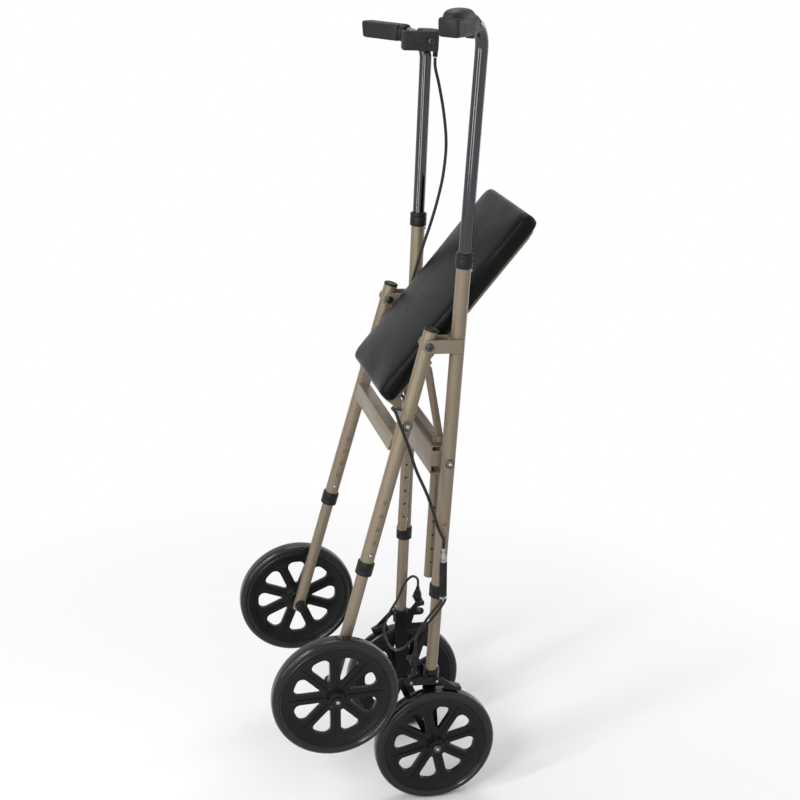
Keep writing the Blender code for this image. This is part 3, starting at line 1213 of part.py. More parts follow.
def brake_cable():
    """The cable from the lever to its junction on the left leg, and one from there to each front wheel."""
    junction = junction_frame()
    split = JUNCTION_LENGTH * 0.3
    spread = JUNCTION_RADIUS - 0.0001
    outline = capsule((-spread, 0), (spread, 0), JUNCTION_RADIUS)
    sleeve_place = junction @ shift(0, 0, split - JUNCTION_LENGTH / 2)
    plate("cable_splitter", [outline], JUNCTION_LENGTH, sleeve_place, BLACK)
    base = split + SEAT_GAP
    top = base + ADJUSTER_LENGTH
    radius = ADJUSTER_RADIUS
    adjuster_profile = [
        (0, top), (radius * 0.7, top), (radius * 0.85, top - 0.006), (radius * 0.6, top - 0.0065),
        (radius * 0.6, top - 0.009), (radius, top - 0.0095), (radius, base + 0.004),
        (radius * 0.75, base + 0.0035), (radius * 0.75, base + 0.002), (radius, base + 0.0015),
        (radius, base), (0, base),
    ]
    turned("cable_adjuster", adjuster_profile, junction, STEEL, SMALL_SIDES)

    lever_end = HANDLE_CORNER - RIGHT_HANDLE_DROP - LEVER_PIVOT_DROP - LEVER_CASE_HALF[2] - FERRULE_LENGTH
    lever_end -= SHEATH_END_GAP
    arrival = junction @ Vector((0, 0, top + SHEATH_END_GAP))
    before = junction @ Vector((0, 0, top + 0.016))
    main_route = [
        walker_point(*FERRULE_PLACE, lever_end),
        walker_point(0.0150, 0.1390, lever_end - 0.016),
        walker_point(0.0235, 0.1400, 1.1480),
        walker_point(0.0343, 0.1400, 1.1022),
        walker_point(0.0402, 0.1380, 1.0545),
        walker_point(0.0374, 0.1350, 1.0063),
        walker_point(0.0290, 0.1300, 0.9658),
        walker_point(0.0178, 0.1220, 0.9299),
        walker_point(0.0070, 0.1145, 0.9011),
        walker_point(-0.0055, 0.1095, 0.8605),
        walker_point(-0.0130, 0.1075, 0.8272),
        walker_point(-0.0230, 0.1075, 0.7850),
        walker_point(-0.0350, 0.1070, 0.7350),
        walker_point(-0.0440, 0.0980, 0.7030),
        walker_point(-0.0470, 0.0750, 0.6830),
        walker_point(-0.0465, 0.0350, 0.6770),
        walker_point(-0.0465, -0.0300, 0.6770),
        walker_point(-0.0480, -0.0700, 0.6790),
        walker_point(-0.0600, -0.0960, 0.6860),
        walker_point(-0.0800, -0.1110, 0.6960),
        walker_point(-0.0950, -0.1270, 0.7040),
        walker_point(-0.0945, -0.1450, 0.7040),
        walker_point(-0.0885, -0.1530, 0.6870),
        walker_point(-0.0740, -0.1540, 0.6517),
        walker_point(-0.0587, -0.1500, 0.6110),
        walker_point(-0.0356, -0.1450, 0.5630),
        walker_point(-0.0130, -0.1365, 0.5050),
        before,
        arrival,
    ]
    points, length = smooth_route(main_route, SHEATH_STEP)
    swept("brake_cable", points, SHEATH_RADIUS, Matrix.Identity(4), RUBBER)
    print(f"brake cable, lever to junction: {length:.3f} m")

    boot_top = CABLE_STOP_HEIGHT + CABLE_STOP_THICKNESS - 0.0005 + BOOT_HEIGHT + SHEATH_END_GAP
    low_end = split - JUNCTION_LENGTH - SHEATH_END_GAP
    middle_routes = {
        "left": [(-0.0119, -0.1285, 0.3544), (-0.0275, -0.1235, 0.3237), (-0.0315, -0.1130, 0.2967)],
        "right": [
            (-0.0040, -0.1285, 0.3530), (-0.0230, -0.1150, 0.3160), (-0.0429, -0.0800, 0.2654),
            (-0.0481, -0.0300, 0.2382), (-0.0461, 0.0200, 0.2298), (-0.0420, 0.0520, 0.2330),
            (-0.0270, 0.0760, 0.2480), (-0.0111, 0.0850, 0.2704), (0.0010, 0.0900, 0.2960),
            (0.0148, 0.0960, 0.3050), (0.0270, 0.1050, 0.2960),
        ],
    }
    for label, side in SIDES.items():
        start = junction @ Vector((side * spread, 0, low_end))
        after_start = junction @ Vector((side * spread, 0, low_end - 0.008))
        end_x, end_y = side * BRAKE_CABLE_OUT, side * BRAKE_CABLE_SIDE
        route = [start, after_start]
        route += [walker_point(*place) for place in middle_routes[label]]
        route += [walker_point(end_x, end_y, boot_top + 0.008), walker_point(end_x, end_y, boot_top)]
        points, length = smooth_route(route, SHEATH_STEP * 0.8)
        swept(f"{label}_brake_cable", points, BRANCH_RADIUS, Matrix.Identity(4), RUBBER, 1)
        print(f"brake cable, junction to {label} wheel: {length:.3f} m")


def smooth_round_pieces():
    for obj in PARTS.objects:
        if obj.type == "MESH":
            smooth(obj.data)


def main():
    handle_legs()
    swing_legs()
    handle_leg_channel()
    clevises()
    handles()
    pad_posts()
    knee_pad()
    wheels()
    wheel_brackets()
    brake_arms()
    brake_cable()
    smooth_round_pieces()


main()
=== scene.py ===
"""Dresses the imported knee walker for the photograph's view: round tubes, moulded wheels, a padded vinyl
knee cushion, grips, cables and painted metal. Metres, +Z up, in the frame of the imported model."""

from math import asin, atan2, copysign, cos, degrees, pi, radians, sin, tan

import bmesh
import bpy
from mathutils import Matrix, Vector, noise


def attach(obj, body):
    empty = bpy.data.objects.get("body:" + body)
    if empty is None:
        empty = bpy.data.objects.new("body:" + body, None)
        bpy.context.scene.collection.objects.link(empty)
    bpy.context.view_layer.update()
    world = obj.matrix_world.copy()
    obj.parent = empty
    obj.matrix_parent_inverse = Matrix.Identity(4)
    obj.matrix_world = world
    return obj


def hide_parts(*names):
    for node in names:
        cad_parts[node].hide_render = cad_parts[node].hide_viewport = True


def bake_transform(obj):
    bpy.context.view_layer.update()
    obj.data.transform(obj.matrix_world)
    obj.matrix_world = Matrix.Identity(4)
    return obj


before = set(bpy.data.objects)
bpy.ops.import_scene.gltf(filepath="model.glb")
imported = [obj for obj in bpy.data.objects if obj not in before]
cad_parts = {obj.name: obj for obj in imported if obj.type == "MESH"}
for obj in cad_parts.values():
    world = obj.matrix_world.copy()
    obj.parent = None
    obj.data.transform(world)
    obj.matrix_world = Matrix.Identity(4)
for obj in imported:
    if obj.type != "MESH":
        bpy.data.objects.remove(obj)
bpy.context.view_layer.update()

# Where things stand, as in the model's source
SIDES = {"left": -1, "right": 1}
GAP = 0.0003
LEG_X = 0.0762
HINGE_SETBACK = 0.0471
HINGE_HEIGHT = 0.8038
HINGE_HALF_WIDTH = 0.1291
HANDLE_LEG_SPLAY = radians(2.5)
SWING_LEG_SPLAY = radians(1.43)
SWING_LEG_RAKE = radians(12.8)
HOUSING_RADIUS = 0.0111
INNER_RADIUS = 0.00955
TUBE_WALL = 0.0012
HANDLE_LEG_LOW = 0.3807
HANDLE_LEG_HIGH = 0.9383
LOWER_TUBE_END = 0.218
LOWER_TUBE_INSERTION = 0.098
LOWER_BUTTON_HEIGHT = 0.412
LOWER_HOLE_PITCH = 0.0238
LEG_HOLES = 5
LEG_BOLT_HEIGHT = 0.611
COLLAR_WALL = 0.0024
CLEVIS_GAP = 0.0008
CLEVIS_WALL = 0.0026
HANDLE_BUTTON_HEIGHT = 0.919
SWING_LEG_TOP = 0.022
SWING_LEG_LENGTH = 0.3712
SWING_BUTTON_DROP = 0.3426
SWING_HOLE_PITCH = 0.0224
SWING_AXLE_DROP = 0.5754
SWING_BOLT_DROP = 0.127
SWING_TUBE_PAST_AXLE = 0.012
CHANNEL_TAB_FACE = 0.0022
HOLE_RADIUS = 0.0033
BUTTON_RADIUS = 0.003
BUTTON_STANDS = 0.0024
HANDLE_TUBE_LOW = 0.7202
HANDLE_CORNER = 1.276
RIGHT_HANDLE_DROP = 0.0508
HANDLE_HOLE_PITCH = 0.0254
HANDLE_BEND_RADIUS = 0.038
HANDLE_REACH = 0.112
HANDLE_TURN = radians(49)
WHEEL_RADIUS = 0.1016
HUB_FACE = 0.02
SPOKES = 8
FRONT_WHEEL_AHEAD = 0.0112
FRONT_WHEEL_HALF_TRACK = 0.1117
SWING_WHEEL_OFFSET = 0.0272
PAD_HINGE = (-0.01, 0, 0.641)
PAD_FROM_HINGE = (0.005, 0, 0.0975)
PAD_SLOPE = radians(52.65)
PAD_LENGTH = 0.345
PAD_WIDTH = 0.2
COVER_OVERHANG = 0.006
COVER_RISE = 0.002
COVER_CORNER = 0.012
BASE_SCREWS_ALONG = (0.035, 0.125, 0.215, 0.31)
BASE_SCREW_SIDE = 0.087
BASE_UNDERSIDE = 0.0033
HOOK_PIN_ALONG = -0.0127
HOOK_PIN_SIDE = 0.05
HOOK_PIN_DROP = 0.0311
HOOK_HALF_WIDTH = 0.0082
LEVER_PIVOT_SIDE = 0.1215
LEVER_PIVOT_HEIGHT = HANDLE_CORNER - RIGHT_HANDLE_DROP - 0.0057
LEVER_CABLE_AHEAD = 0.0135
LEVER_CABLE_SIDE = 0.139
LEVER_BOOT_LOW = LEVER_PIVOT_HEIGHT - 0.0165 - 0.01
CABLE_GAP = 0.0008
JUNCTION_AHEAD = 0.0015
JUNCTION_OUT = 0.018
JUNCTION_HEIGHT = 0.425
JUNCTION_LEAN = radians(-3.8)
SPLITTER_LENGTH = 0.0617
SPLITTER_TOP = SPLITTER_LENGTH * 0.3
SPLITTER_SPREAD = 0.003
ADJUSTER_LOW = SPLITTER_TOP + GAP
ADJUSTER_TOP = ADJUSTER_LOW + 0.0245
BRAKE_CABLE_OUT = 0.031
BRAKE_CABLE_SIDE = 0.111
CABLE_STOP_TOP = 0.2565
BOOT_TOP = CABLE_STOP_TOP - 0.0005 + 0.0195
BRAKE_PIVOT_AHEAD = -0.006
BRAKE_PIVOT_SIDE = 0.1189
BRAKE_PIVOT_HEIGHT = 0.2235
WIRE_CLAMP_AHEAD = 0.0375
WHEEL_TURNS = {"left_front": 0.52, "left_swing": -0.05, "right_front": 0.33, "right_swing": 0.34}
UPRIGHT = Matrix.Rotation(pi / 2, 4, "X")
SAME_POINT = 0.000002
NEAR_POINT = 0.00001
QUADRANTS = ((1, 1), (-1, 1), (-1, -1), (1, -1))


def shift(x, y, z):
    return Matrix.Translation((x, y, z))


def turn(angle, axis):
    return Matrix.Rotation(angle, 4, axis)


def lift(place, height):
    return place @ shift(0, 0, height)


def from_leg(x, y, z):
    return shift(LEG_X + x, y, z)


def handle_leg_frame(side):
    at_hinge = from_leg(0, side * HINGE_HALF_WIDTH, HINGE_HEIGHT)
    return lift(at_hinge @ turn(-side * HANDLE_LEG_SPLAY, "X"), -HINGE_HEIGHT)


def swing_leg_frame(side):
    hinge = from_leg(-HINGE_SETBACK, side * HINGE_HALF_WIDTH, HINGE_HEIGHT)
    return hinge @ turn(SWING_LEG_RAKE, "Y") @ turn(side * SWING_LEG_SPLAY, "X")


def outboard(side):
    return turn(-side * pi / 2, "X")


def pad_place():
    return from_leg(*PAD_HINGE) @ turn(-PAD_SLOPE, "Y") @ shift(*PAD_FROM_HINGE)


def front_wheel_frame(side):
    return from_leg(FRONT_WHEEL_AHEAD, side * FRONT_WHEEL_HALF_TRACK, WHEEL_RADIUS) @ outboard(side)


def swing_wheel_frame(side):
    axle = swing_leg_frame(side) @ Vector((0, 0, -SWING_AXLE_DROP))
    return shift(axle.x, axle.y + side * SWING_WHEEL_OFFSET, axle.z) @ outboard(side)


# Materials

def fill(node, inputs):
    """Links each input to what it is given, where that is a socket, and otherwise sets its value."""
    for key, given in inputs.items():
        if isinstance(given, bpy.types.NodeSocket):
            node.id_data.links.new(given, node.inputs[key])
        else:
            node.inputs[key].default_value = given


def add_node(tree, kind, inputs=None, **settings):
    made = tree.nodes.new("ShaderNode" + kind)
    for key, value in settings.items():
        setattr(made, key, value)
    fill(made, inputs or {})
    return made


class Surface:
    """A Principled material with object coordinates to paint grain, wear and bumps from."""

    def __init__(self, name, roughness, metallic=0.0, shine=0.5):
        self.material = bpy.data.materials.new(name)
        self.material.use_nodes = True
        self.tree = self.material.node_tree
        self.shader = self.tree.nodes["Principled BSDF"]
        fill(self.shader, {"Roughness": roughness, "Metallic": metallic, "Specular IOR Level": shine})
        self.place = self.node("TexCoord").outputs["Object"]

    def node(self, kind, inputs=None, **settings):
        return add_node(self.tree, kind, inputs, **settings)

    def stretched(self, scale):
        return self.node("Mapping", {"Vector": self.place, "Scale": scale}).outputs["Vector"]

    def noise(self, scale, detail=3, place=None):
        inputs = {"Vector": place or self.place, "Scale": scale, "Detail": detail}
        return self.node("TexNoise", inputs).outputs["Fac"]

    def cells(self, scale):
        inputs = {"Vector": self.place, "Scale": scale}
        return self.node("TexVoronoi", inputs, feature="DISTANCE_TO_EDGE").outputs["Distance"]

    def span(self, value, low, high, to_low=0.0, to_high=1.0):
        inputs = {"Value": value, "From Min": low, "From Max": high, "To Min": to_low, "To Max": to_high}
        return self.node("MapRange", inputs).outputs["Result"]

    def mix(self, share, *colours):
        first, second = ((*colour, 1) if isinstance(colour, tuple) else colour for colour in colours)
        return self.node("Mix", {"Factor": share, 6: first, 7: second}, data_type="RGBA").outputs[2]

    def edges(self):
        """One along sharp outer edges, and zero on flat faces and round tubes."""
        return self.span(self.node("NewGeometry").outputs["Pointiness"], 0.58, 0.68)

    def colour(self, source):
        fill(self.shader, {"Base Color": source})

    def roughness(self, source):
        fill(self.shader, {"Roughness": source})

    def bump(self, height, distance, strength, under=None):
        inputs = {"Height": height, "Distance": distance, "Strength": strength}
        if under:
            inputs["Normal"] = under
        normal = self.node("Bump", inputs).outputs["Normal"]
        fill(self.shader, {"Normal": normal})
        return normal


def bronze_paint():
    """Champagne powder coat: fine metal flake, a faint orange peel and paler worn edges."""
    s = Surface("bronze_paint_coat", 0.36, 0.3, 0.2)
    flake = s.span(s.noise(2600, 1), 0.35, 0.7)
    base = s.mix(flake, (0.165, 0.131, 0.092), (0.27, 0.218, 0.159))
    patches = s.span(s.noise(14, 4), 0.35, 0.7, 0, 0.3)
    base = s.mix(patches, base, (0.18, 0.143, 0.102))
    s.colour(s.mix(s.edges(), base, (0.34, 0.29, 0.225)))
    s.roughness(s.span(s.noise(30, 4), 0.3, 0.7, 0.3, 0.4))
    peel = s.bump(s.noise(420, 2), 0.00008, 0.35)
    s.bump(flake, 0.00002, 0.3, peel)
    return s.material


def chrome():
    """Dark polished tube with faint drawing lines and small scuffs."""
    s = Surface("polished_tube", 0.13, 1.0)
    lines = s.noise(1.0, 3, s.stretched((900, 900, 14)))
    s.colour(s.mix(s.span(lines, 0.35, 0.65), (0.052, 0.053, 0.057), (0.078, 0.079, 0.085)))
    s.roughness(s.span(s.noise(1.0, 5, s.stretched((60, 60, 9))), 0.5, 0.75, 0.1, 0.17))
    s.bump(lines, 0.000002, 0.1)
    return s.material


def plated(name, first, second, roughness):
    """Plated steel: mottled, with a fine tooth."""
    s = Surface(name, roughness, 1.0)
    s.colour(s.mix(s.span(s.noise(180, 4), 0.3, 0.7), first, second))
    s.roughness(s.span(s.noise(90, 5), 0.3, 0.7, roughness * 0.8, roughness * 1.5))
    s.bump(s.noise(1400, 2), 0.00002, 0.4)
    return s.material


def moulded(name, colour, roughness, grain=1800, depth=0.00003, shine=0.22):
    """Moulded plastic or rubber: a fine grain, an uneven sheen and dusty worn edges."""
    s = Surface(name, roughness, shine=shine)
    pale = tuple(c * 2.2 + 0.008 for c in colour)
    dark = tuple(c * 0.7 for c in colour)
    base = s.mix(s.span(s.noise(35, 5), 0.35, 0.7), dark, colour)
    s.colour(s.mix(s.edges(), base, pale))
    s.roughness(s.span(s.noise(55, 4), 0.3, 0.7, roughness * 0.82, roughness * 1.2))
    s.bump(s.noise(grain, 3), depth, 0.5)
    return s.material


def vinyl():
    """Upholstery vinyl: pebbled grain in small cells with painted shade in the grooves between them, soft
    creases, and a duller sheen where it is rubbed.
    """
    s = Surface("cushion_vinyl", 0.4, shine=0.08)
    cells = s.span(s.cells(620), 0.0, 0.12)
    mottled = s.span(s.noise(24, 4), 0.3, 0.7)
    base = s.mix(mottled, (0.0036, 0.0044, 0.004), (0.0062, 0.0072, 0.0066))
    # Darker where the cells meet: painted shade in the grooves of the grain.
    s.colour(s.mix(cells, (0.003, 0.0035, 0.0033), base))
    s.roughness(s.span(s.noise(17, 5), 0.3, 0.72, 0.24, 0.38))
    creases = s.noise(1.0, 4, s.stretched((18, 9, 20)))
    soft = s.bump(creases, 0.0004, 0.4)
    s.bump(cells, 0.00006, 0.5, soft)
    return s.material


BRONZE = bronze_paint()
CHROME = chrome()
ZINC = plated("zinc_plate", (0.26, 0.26, 0.26), (0.44, 0.44, 0.43), 0.28)
DARK_BOLT = plated("dark_bolt", (0.03, 0.031, 0.035), (0.09, 0.09, 0.1), 0.34)
WHEEL_PLASTIC = moulded("wheel_plastic", (0.008, 0.0096, 0.0084), 0.33, shine=0.15)
COLLAR_PLASTIC = moulded("collar_plastic", (0.012, 0.013, 0.0126), 0.42, 2400, shine=0.16)
TYRE_RUBBER = moulded("tyre_rubber", (0.0074, 0.009, 0.008), 0.17, 1300, 0.00001, 0.34)
GRIP_RUBBER = moulded("grip_rubber", (0.0165, 0.018, 0.018), 0.5, 2100, 0.00005, 0.2)
LEVER_PLASTIC = moulded("lever_plastic", (0.0195, 0.021, 0.022), 0.45, 2000)
BLACK_METAL = moulded("black_metal", (0.008, 0.0088, 0.0082), 0.3, 900, 0.00003, 0.18)
SHEATH = moulded("sheath", (0.0125, 0.013, 0.0125), 0.4, 2600)
VINYL = vinyl()


# Shapes

def add(name, data, place, finish=None):
    obj = bpy.data.objects.new(name, data)
    bpy.context.scene.collection.objects.link(obj)
    obj.matrix_world = place
    if finish:
        data.materials.clear()
        data.materials.append(finish)
    return obj


def dress(obj, body, *nodes):
    """The piece rides on its body, and stands for these nodes of the model."""
    bpy.context.view_layer.update()
    if nodes:
        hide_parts(*nodes)
    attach(obj, body)


def bend(obj, node, first, second, start, end):
    """The piece stands for a node, which it hides, and is baked into world space; the two bodies and the
    start and end it is given are not used.
    """
    bpy.context.view_layer.update()
    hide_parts(node)
    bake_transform(obj)


def soften(obj, angle):
    obj.data.shade_smooth()
    obj.data.set_sharp_from_angle(angle=radians(angle))
    return obj


def settled(obj, finish, angle=40):
    """The same object with its modifiers applied and welded."""
    bpy.context.view_layer.update()
    evaluated = obj.evaluated_get(bpy.context.evaluated_depsgraph_get())
    mesh = bpy.data.meshes.new_from_object(evaluated)
    place, name = obj.matrix_world.copy(), obj.name
    for modifier in obj.modifiers:
        if modifier.type == "BOOLEAN":
            bpy.data.objects.remove(modifier.object)
    bpy.data.objects.remove(obj)
    bm = bmesh.new()
    bm.from_mesh(mesh)
    bmesh.ops.remove_doubles(bm, verts=bm.verts, dist=SAME_POINT)
    bmesh.ops.recalc_face_normals(bm, faces=bm.faces)
    bm.to_mesh(mesh)
    bm.free()
    return soften(add(name, mesh, place, finish), angle)


def mesh_of(obj):
    """The object's mesh, without the object."""
    mesh = obj.data
    bpy.data.objects.remove(obj)
    return mesh


def cut(target, tool, operation="DIFFERENCE"):
    modifier = target.modifiers.new(tool.name, "BOOLEAN")
    modifier.operation = operation
    modifier.object = tool
    tool.hide_render = True
    return target


def fuse(target, tool):
    return cut(target, tool, "UNION")


def rounded(obj, width, segments=2, angle=35):
    bevel = obj.modifiers.new("rounding", "BEVEL")
    bevel.width = width
    bevel.segments = segments
    bevel.limit_method = "ANGLE"
    bevel.angle_limit = radians(angle)
    return obj


def from_bmesh(name, build, place, finish=None):
    bm = bmesh.new()
    build(bm)
    bmesh.ops.recalc_face_normals(bm, faces=bm.faces)
    mesh = bpy.data.meshes.new(name)
    bm.to_mesh(mesh)
    bm.free()
    return add(name, mesh, place, finish)


def skin(bm, rings):
    """Faces from each ring of points to the next. A ring of one point is a tip."""
    for first, second in zip(rings, rings[1:]):
        count = max(len(first), len(second))
        for i in range(count):
            around = ((first, i), (second, i), (second, i + 1), (first, i + 1))
            corners = [ring[k % len(ring)] for ring, k in around]
            bm.faces.new(list(dict.fromkeys(corners)))


def turned(name, profile, place, finish=None, sides=48, angle=40):
    """A profile of (radius, height) turned about Z, down its outer side and up its bore if it has one."""
    def build(bm):
        rings = []
        for radius, height in profile:
            headings = [2 * pi * i / sides for i in range(sides if radius > 0 else 1)]
            rings.append([bm.verts.new((radius * cos(a), radius * sin(a), height)) for a in headings])
        bored = min(radius for radius, _ in profile) > 0
        skin(bm, rings + rings[:1] if bored else rings)
    return soften(from_bmesh(name, build, place, finish), angle)


def drill(radius, length, place, sides=20):
    half = length / 2
    return turned("drill", [(0, half), (radius, half), (radius, -half), (0, -half)], place, None, sides)


def prism(name, outline, thickness, place):
    """A flat outline in X and Y, thick to both sides of Z = 0."""
    def build(bm):
        verts = [bm.verts.new((x, y, -thickness / 2)) for x, y in outline]
        face = bm.faces.new(verts)
        grown = bmesh.ops.extrude_face_region(bm, geom=[face])
        moved = [v for v in grown["geom"] if isinstance(v, bmesh.types.BMVert)]
        bmesh.ops.translate(bm, verts=moved, vec=(0, 0, thickness))
    return from_bmesh(name, build, place)


def box(name, low, high, place, finish=None, rounding=0.0, segments=3):
    low, high = Vector(low), Vector(high)

    def build(bm):
        size = Matrix.Diagonal((*(high - low), 1))
        bmesh.ops.create_cube(bm, size=1, matrix=Matrix.Translation((low + high) / 2) @ size)
        if rounding:
            bmesh.ops.bevel(
                bm, geom=bm.edges[:], offset=rounding, segments=segments, profile=0.5, affect="EDGES"
            )
    return soften(from_bmesh(name, build, place, finish), 50)


def ramp(value, start, width):
    """Zero up to start, then a straight rise to one over this width."""
    return max(0, min(1, (value - start) / width))


def arc(centre, radius, start, end, steps):
    """Points along an arc, from one angle to another in degrees."""
    points = []
    for i in range(steps + 1):
        angle = radians(start + (end - start) * i / steps)
        points.append((centre[0] + radius * cos(angle), centre[1] + radius * sin(angle)))
    return points


def swept(name, points, radius, place, finish, resolution):
    """A round rod along a run of points, as a mesh."""
    curve = bpy.data.curves.new(name, "CURVE")
    curve.dimensions = "3D"
    curve.bevel_depth = radius
    curve.bevel_resolution = resolution
    curve.use_fill_caps = True
    spline = curve.splines.new("POLY")
    spline.points.add(len(points) - 1)
    for knot, where in zip(spline.points, points):
        knot.co = (*where, 1)
    return settled(add(name, curve, place), finish, 60)


def bent(start, corner, end, radius):
    """Points from start to end, with a round bend in place of the corner."""
    start, corner, end = Vector(start), Vector(corner), Vector(end)
    first = (start - corner).normalized()
    second = (end - corner).normalized()
    half = first.angle(second) / 2
    centre = corner + (first + second).normalized() * (radius / sin(half))
    from_centre = corner + first * (radius / tan(half)) - centre
    axis = first.cross(second)
    sweep = pi - 2 * half
    steps = 20
    turns = [Matrix.Rotation(-sweep * i / steps, 3, axis) for i in range(steps + 1)]
    return [start, *(centre + rotation @ from_centre for rotation in turns), end]


def smooth_route(places, step):
    """Even points along a smooth curve through a cable's places."""
    ends = [2 * places[0] - places[1], *places, 2 * places[-1] - places[-2]]
    fine = []
    for before, a, b, after in zip(ends, ends[1:], ends[2:], ends[3:]):
        for i in range(12):
            t = i / 12
            square = (2 * before - 5 * a + 4 * b - after) * t ** 2
            cube = (3 * a - before - 3 * b + after) * t ** 3
            fine.append(0.5 * (2 * a + (b - before) * t + square + cube))
    fine.append(places[-1])
    reach = [0.0]
    for a, b in zip(fine, fine[1:]):
        reach.append(reach[-1] + (b - a).length)
    count = max(2, round(reach[-1] / step))
    points = []
    i = 0
    for k in range(count + 1):
        want = reach[-1] * k / count
        while i < len(fine) - 2 and reach[i + 1] < want:
            i += 1
        share = (want - reach[i]) / (reach[i + 1] - reach[i])
        points.append(fine[i].lerp(fine[i + 1], min(share, 1)))
    return points


# The walker's pieces

def tube(name, radius, low, high, place, holes, body):
    """A straight bronze tube, open at its ends, with round holes at (height, heading, both walls)."""
    bore = radius - TUBE_WALL
    ease = 0.0004
    past_axis = 0.002
    profile = [
        (bore + ease, high), (radius - ease, high), (radius, high - ease), (radius, low + ease),
        (radius - ease, low), (bore, low), (bore, high - ease),
    ]
    obj = turned(name + "_tube", profile, place)
    for height, heading, through in holes:
        length = 0.04 if through else 0.016
        middle = shift(0, 0, 0 if through else length / 2 + past_axis)
        along = lift(place, height) @ turn(heading, "Z") @ turn(pi / 2, "Y") @ middle
        cut(obj, drill(HOLE_RADIUS, length, along))
    dress(settled(obj, BRONZE), body, name)


def collar(name, place, body):
    """A moulded sleeve with a rounded lip and a groove round it below the lip."""
    outer = HOUSING_RADIUS + COLLAR_WALL
    seat = HOUSING_RADIUS + GAP
    lip = INNER_RADIUS + GAP
    half = 0.011
    seat_end = 0.0043
    profile = [
        (lip + 0.0008, half), (outer - 0.0018, half), (outer - 0.0006, half - 0.0005), (outer, half - 0.0016),
        (outer, half - 0.0062), (outer - 0.0003, half - 0.0066), (outer - 0.0003, half - 0.0072),
        (outer, half - 0.0076), (outer, -half + 0.0014), (outer - 0.0005, -half + 0.0004),
        (outer - 0.0014, -half), (seat, -half), (seat, seat_end), (lip, seat_end), (lip, half - 0.0008),
    ]
    dress(turned(name + "_sleeve", profile, place, COLLAR_PLASTIC), body, name)


def snap_button(lock, place):
    """The button of one lock: a domed pin that points up Z and rides on its own body."""
    tip = HOUSING_RADIUS + BUTTON_STANDS
    base = HOUSING_RADIUS - TUBE_WALL + GAP / 3
    r = BUTTON_RADIUS
    profile = [
        (0, tip), (r * 0.45, tip - r * 0.08), (r * 0.78, tip - r * 0.3), (r * 0.95, tip - r * 0.62),
        (r, tip - r), (r, base), (0, base),
    ]
    node = f"{lock}_snap_button"
    dress(turned(node + "_pin", profile, place, ZINC, 24, 60), f"{lock}_button", node)


def legs():
    quarter = pi / 2
    seat = 0.004
    for label, side in SIDES.items():
        place = handle_leg_frame(side)
        holes = [(LOWER_BUTTON_HEIGHT + LOWER_HOLE_PITCH * i, -quarter, False) for i in range(LEG_HOLES)]
        holes += [(LEG_BOLT_HEIGHT, quarter, True), (HANDLE_BUTTON_HEIGHT, 0, False)]
        low, high = HANDLE_LEG_LOW, HANDLE_LEG_HIGH
        tube(f"{label}_handle_leg", HOUSING_RADIUS, low, high, place, holes, "handle_legs")
        collar(f"{label}_handle_collar", lift(place, high - seat), "handle_legs")
        collar(f"{label}_lower_collar", lift(place, low + seat) @ turn(pi, "X"), "handle_legs")
        top = LOWER_BUTTON_HEIGHT + LOWER_TUBE_INSERTION
        holes = [(LOWER_BUTTON_HEIGHT, -quarter, False)]
        tube(f"{label}_lower_tube", INNER_RADIUS, LOWER_TUBE_END, top, place, holes, f"{label}_front_foot")
        snap_button(f"{label}_lower", lift(place, LOWER_BUTTON_HEIGHT) @ turn(quarter, "X"))
        snap_button(f"{label}_handle", lift(place, HANDLE_BUTTON_HEIGHT) @ turn(quarter, "Y"))

        place = swing_leg_frame(side)
        holes = [(-SWING_BUTTON_DROP + SWING_HOLE_PITCH * i, -quarter, False) for i in range(LEG_HOLES)]
        holes += [(0, quarter, True), (-SWING_BOLT_DROP, quarter, True)]
        low = -SWING_LEG_LENGTH
        tube(f"{label}_swing_leg", HOUSING_RADIUS, low, SWING_LEG_TOP, place, holes, "swing_legs")
        collar(f"{label}_swing_collar", lift(place, low + seat) @ turn(pi, "X"), "swing_legs")
        low = -SWING_AXLE_DROP - SWING_TUBE_PAST_AXLE
        top = -SWING_BUTTON_DROP + LOWER_TUBE_INSERTION
        holes = [(-SWING_BUTTON_DROP, -quarter, False), (-SWING_AXLE_DROP, quarter, True)]
        tube(f"{label}_swing_tube", INNER_RADIUS, low, top, place, holes, f"{label}_swing_foot")
        end_cap(f"{label}_swing_tube_end", lift(place, low), f"{label}_swing_foot")
        snap_button(f"{label}_swing", lift(place, -SWING_BUTTON_DROP) @ turn(quarter, "X"))
        leg_cap(f"{label}_swing_leg_cap", place)


def end_cap(name, place, body):
    """A plug in a tube's lower end."""
    bore = INNER_RADIUS - TUBE_WALL - GAP
    profile = [(0, 0.006), (bore, 0.006), (bore, 0.0002), (bore * 0.8, -0.0009), (0, -0.0012)]
    dress(turned(name, profile, place, COLLAR_PLASTIC, 32), body)


def leg_cap(name, place):
    """A black plug with a lipped, dished top."""
    face = SWING_LEG_TOP + GAP
    r = HOUSING_RADIUS + 0.0004
    plug = HOUSING_RADIUS - TUBE_WALL - GAP
    profile = [
        (0, face + 0.0026), (r * 0.6, face + 0.0027), (r * 0.7, face + 0.0034), (r * 0.86, face + 0.0037),
        (r * 0.96, face + 0.0031), (r, face + 0.0022), (r, face), (plug, face), (plug, face - 0.008),
        (0, face - 0.008),
    ]
    dress(turned(name + "_top", profile, place, COLLAR_PLASTIC), "swing_legs", name)


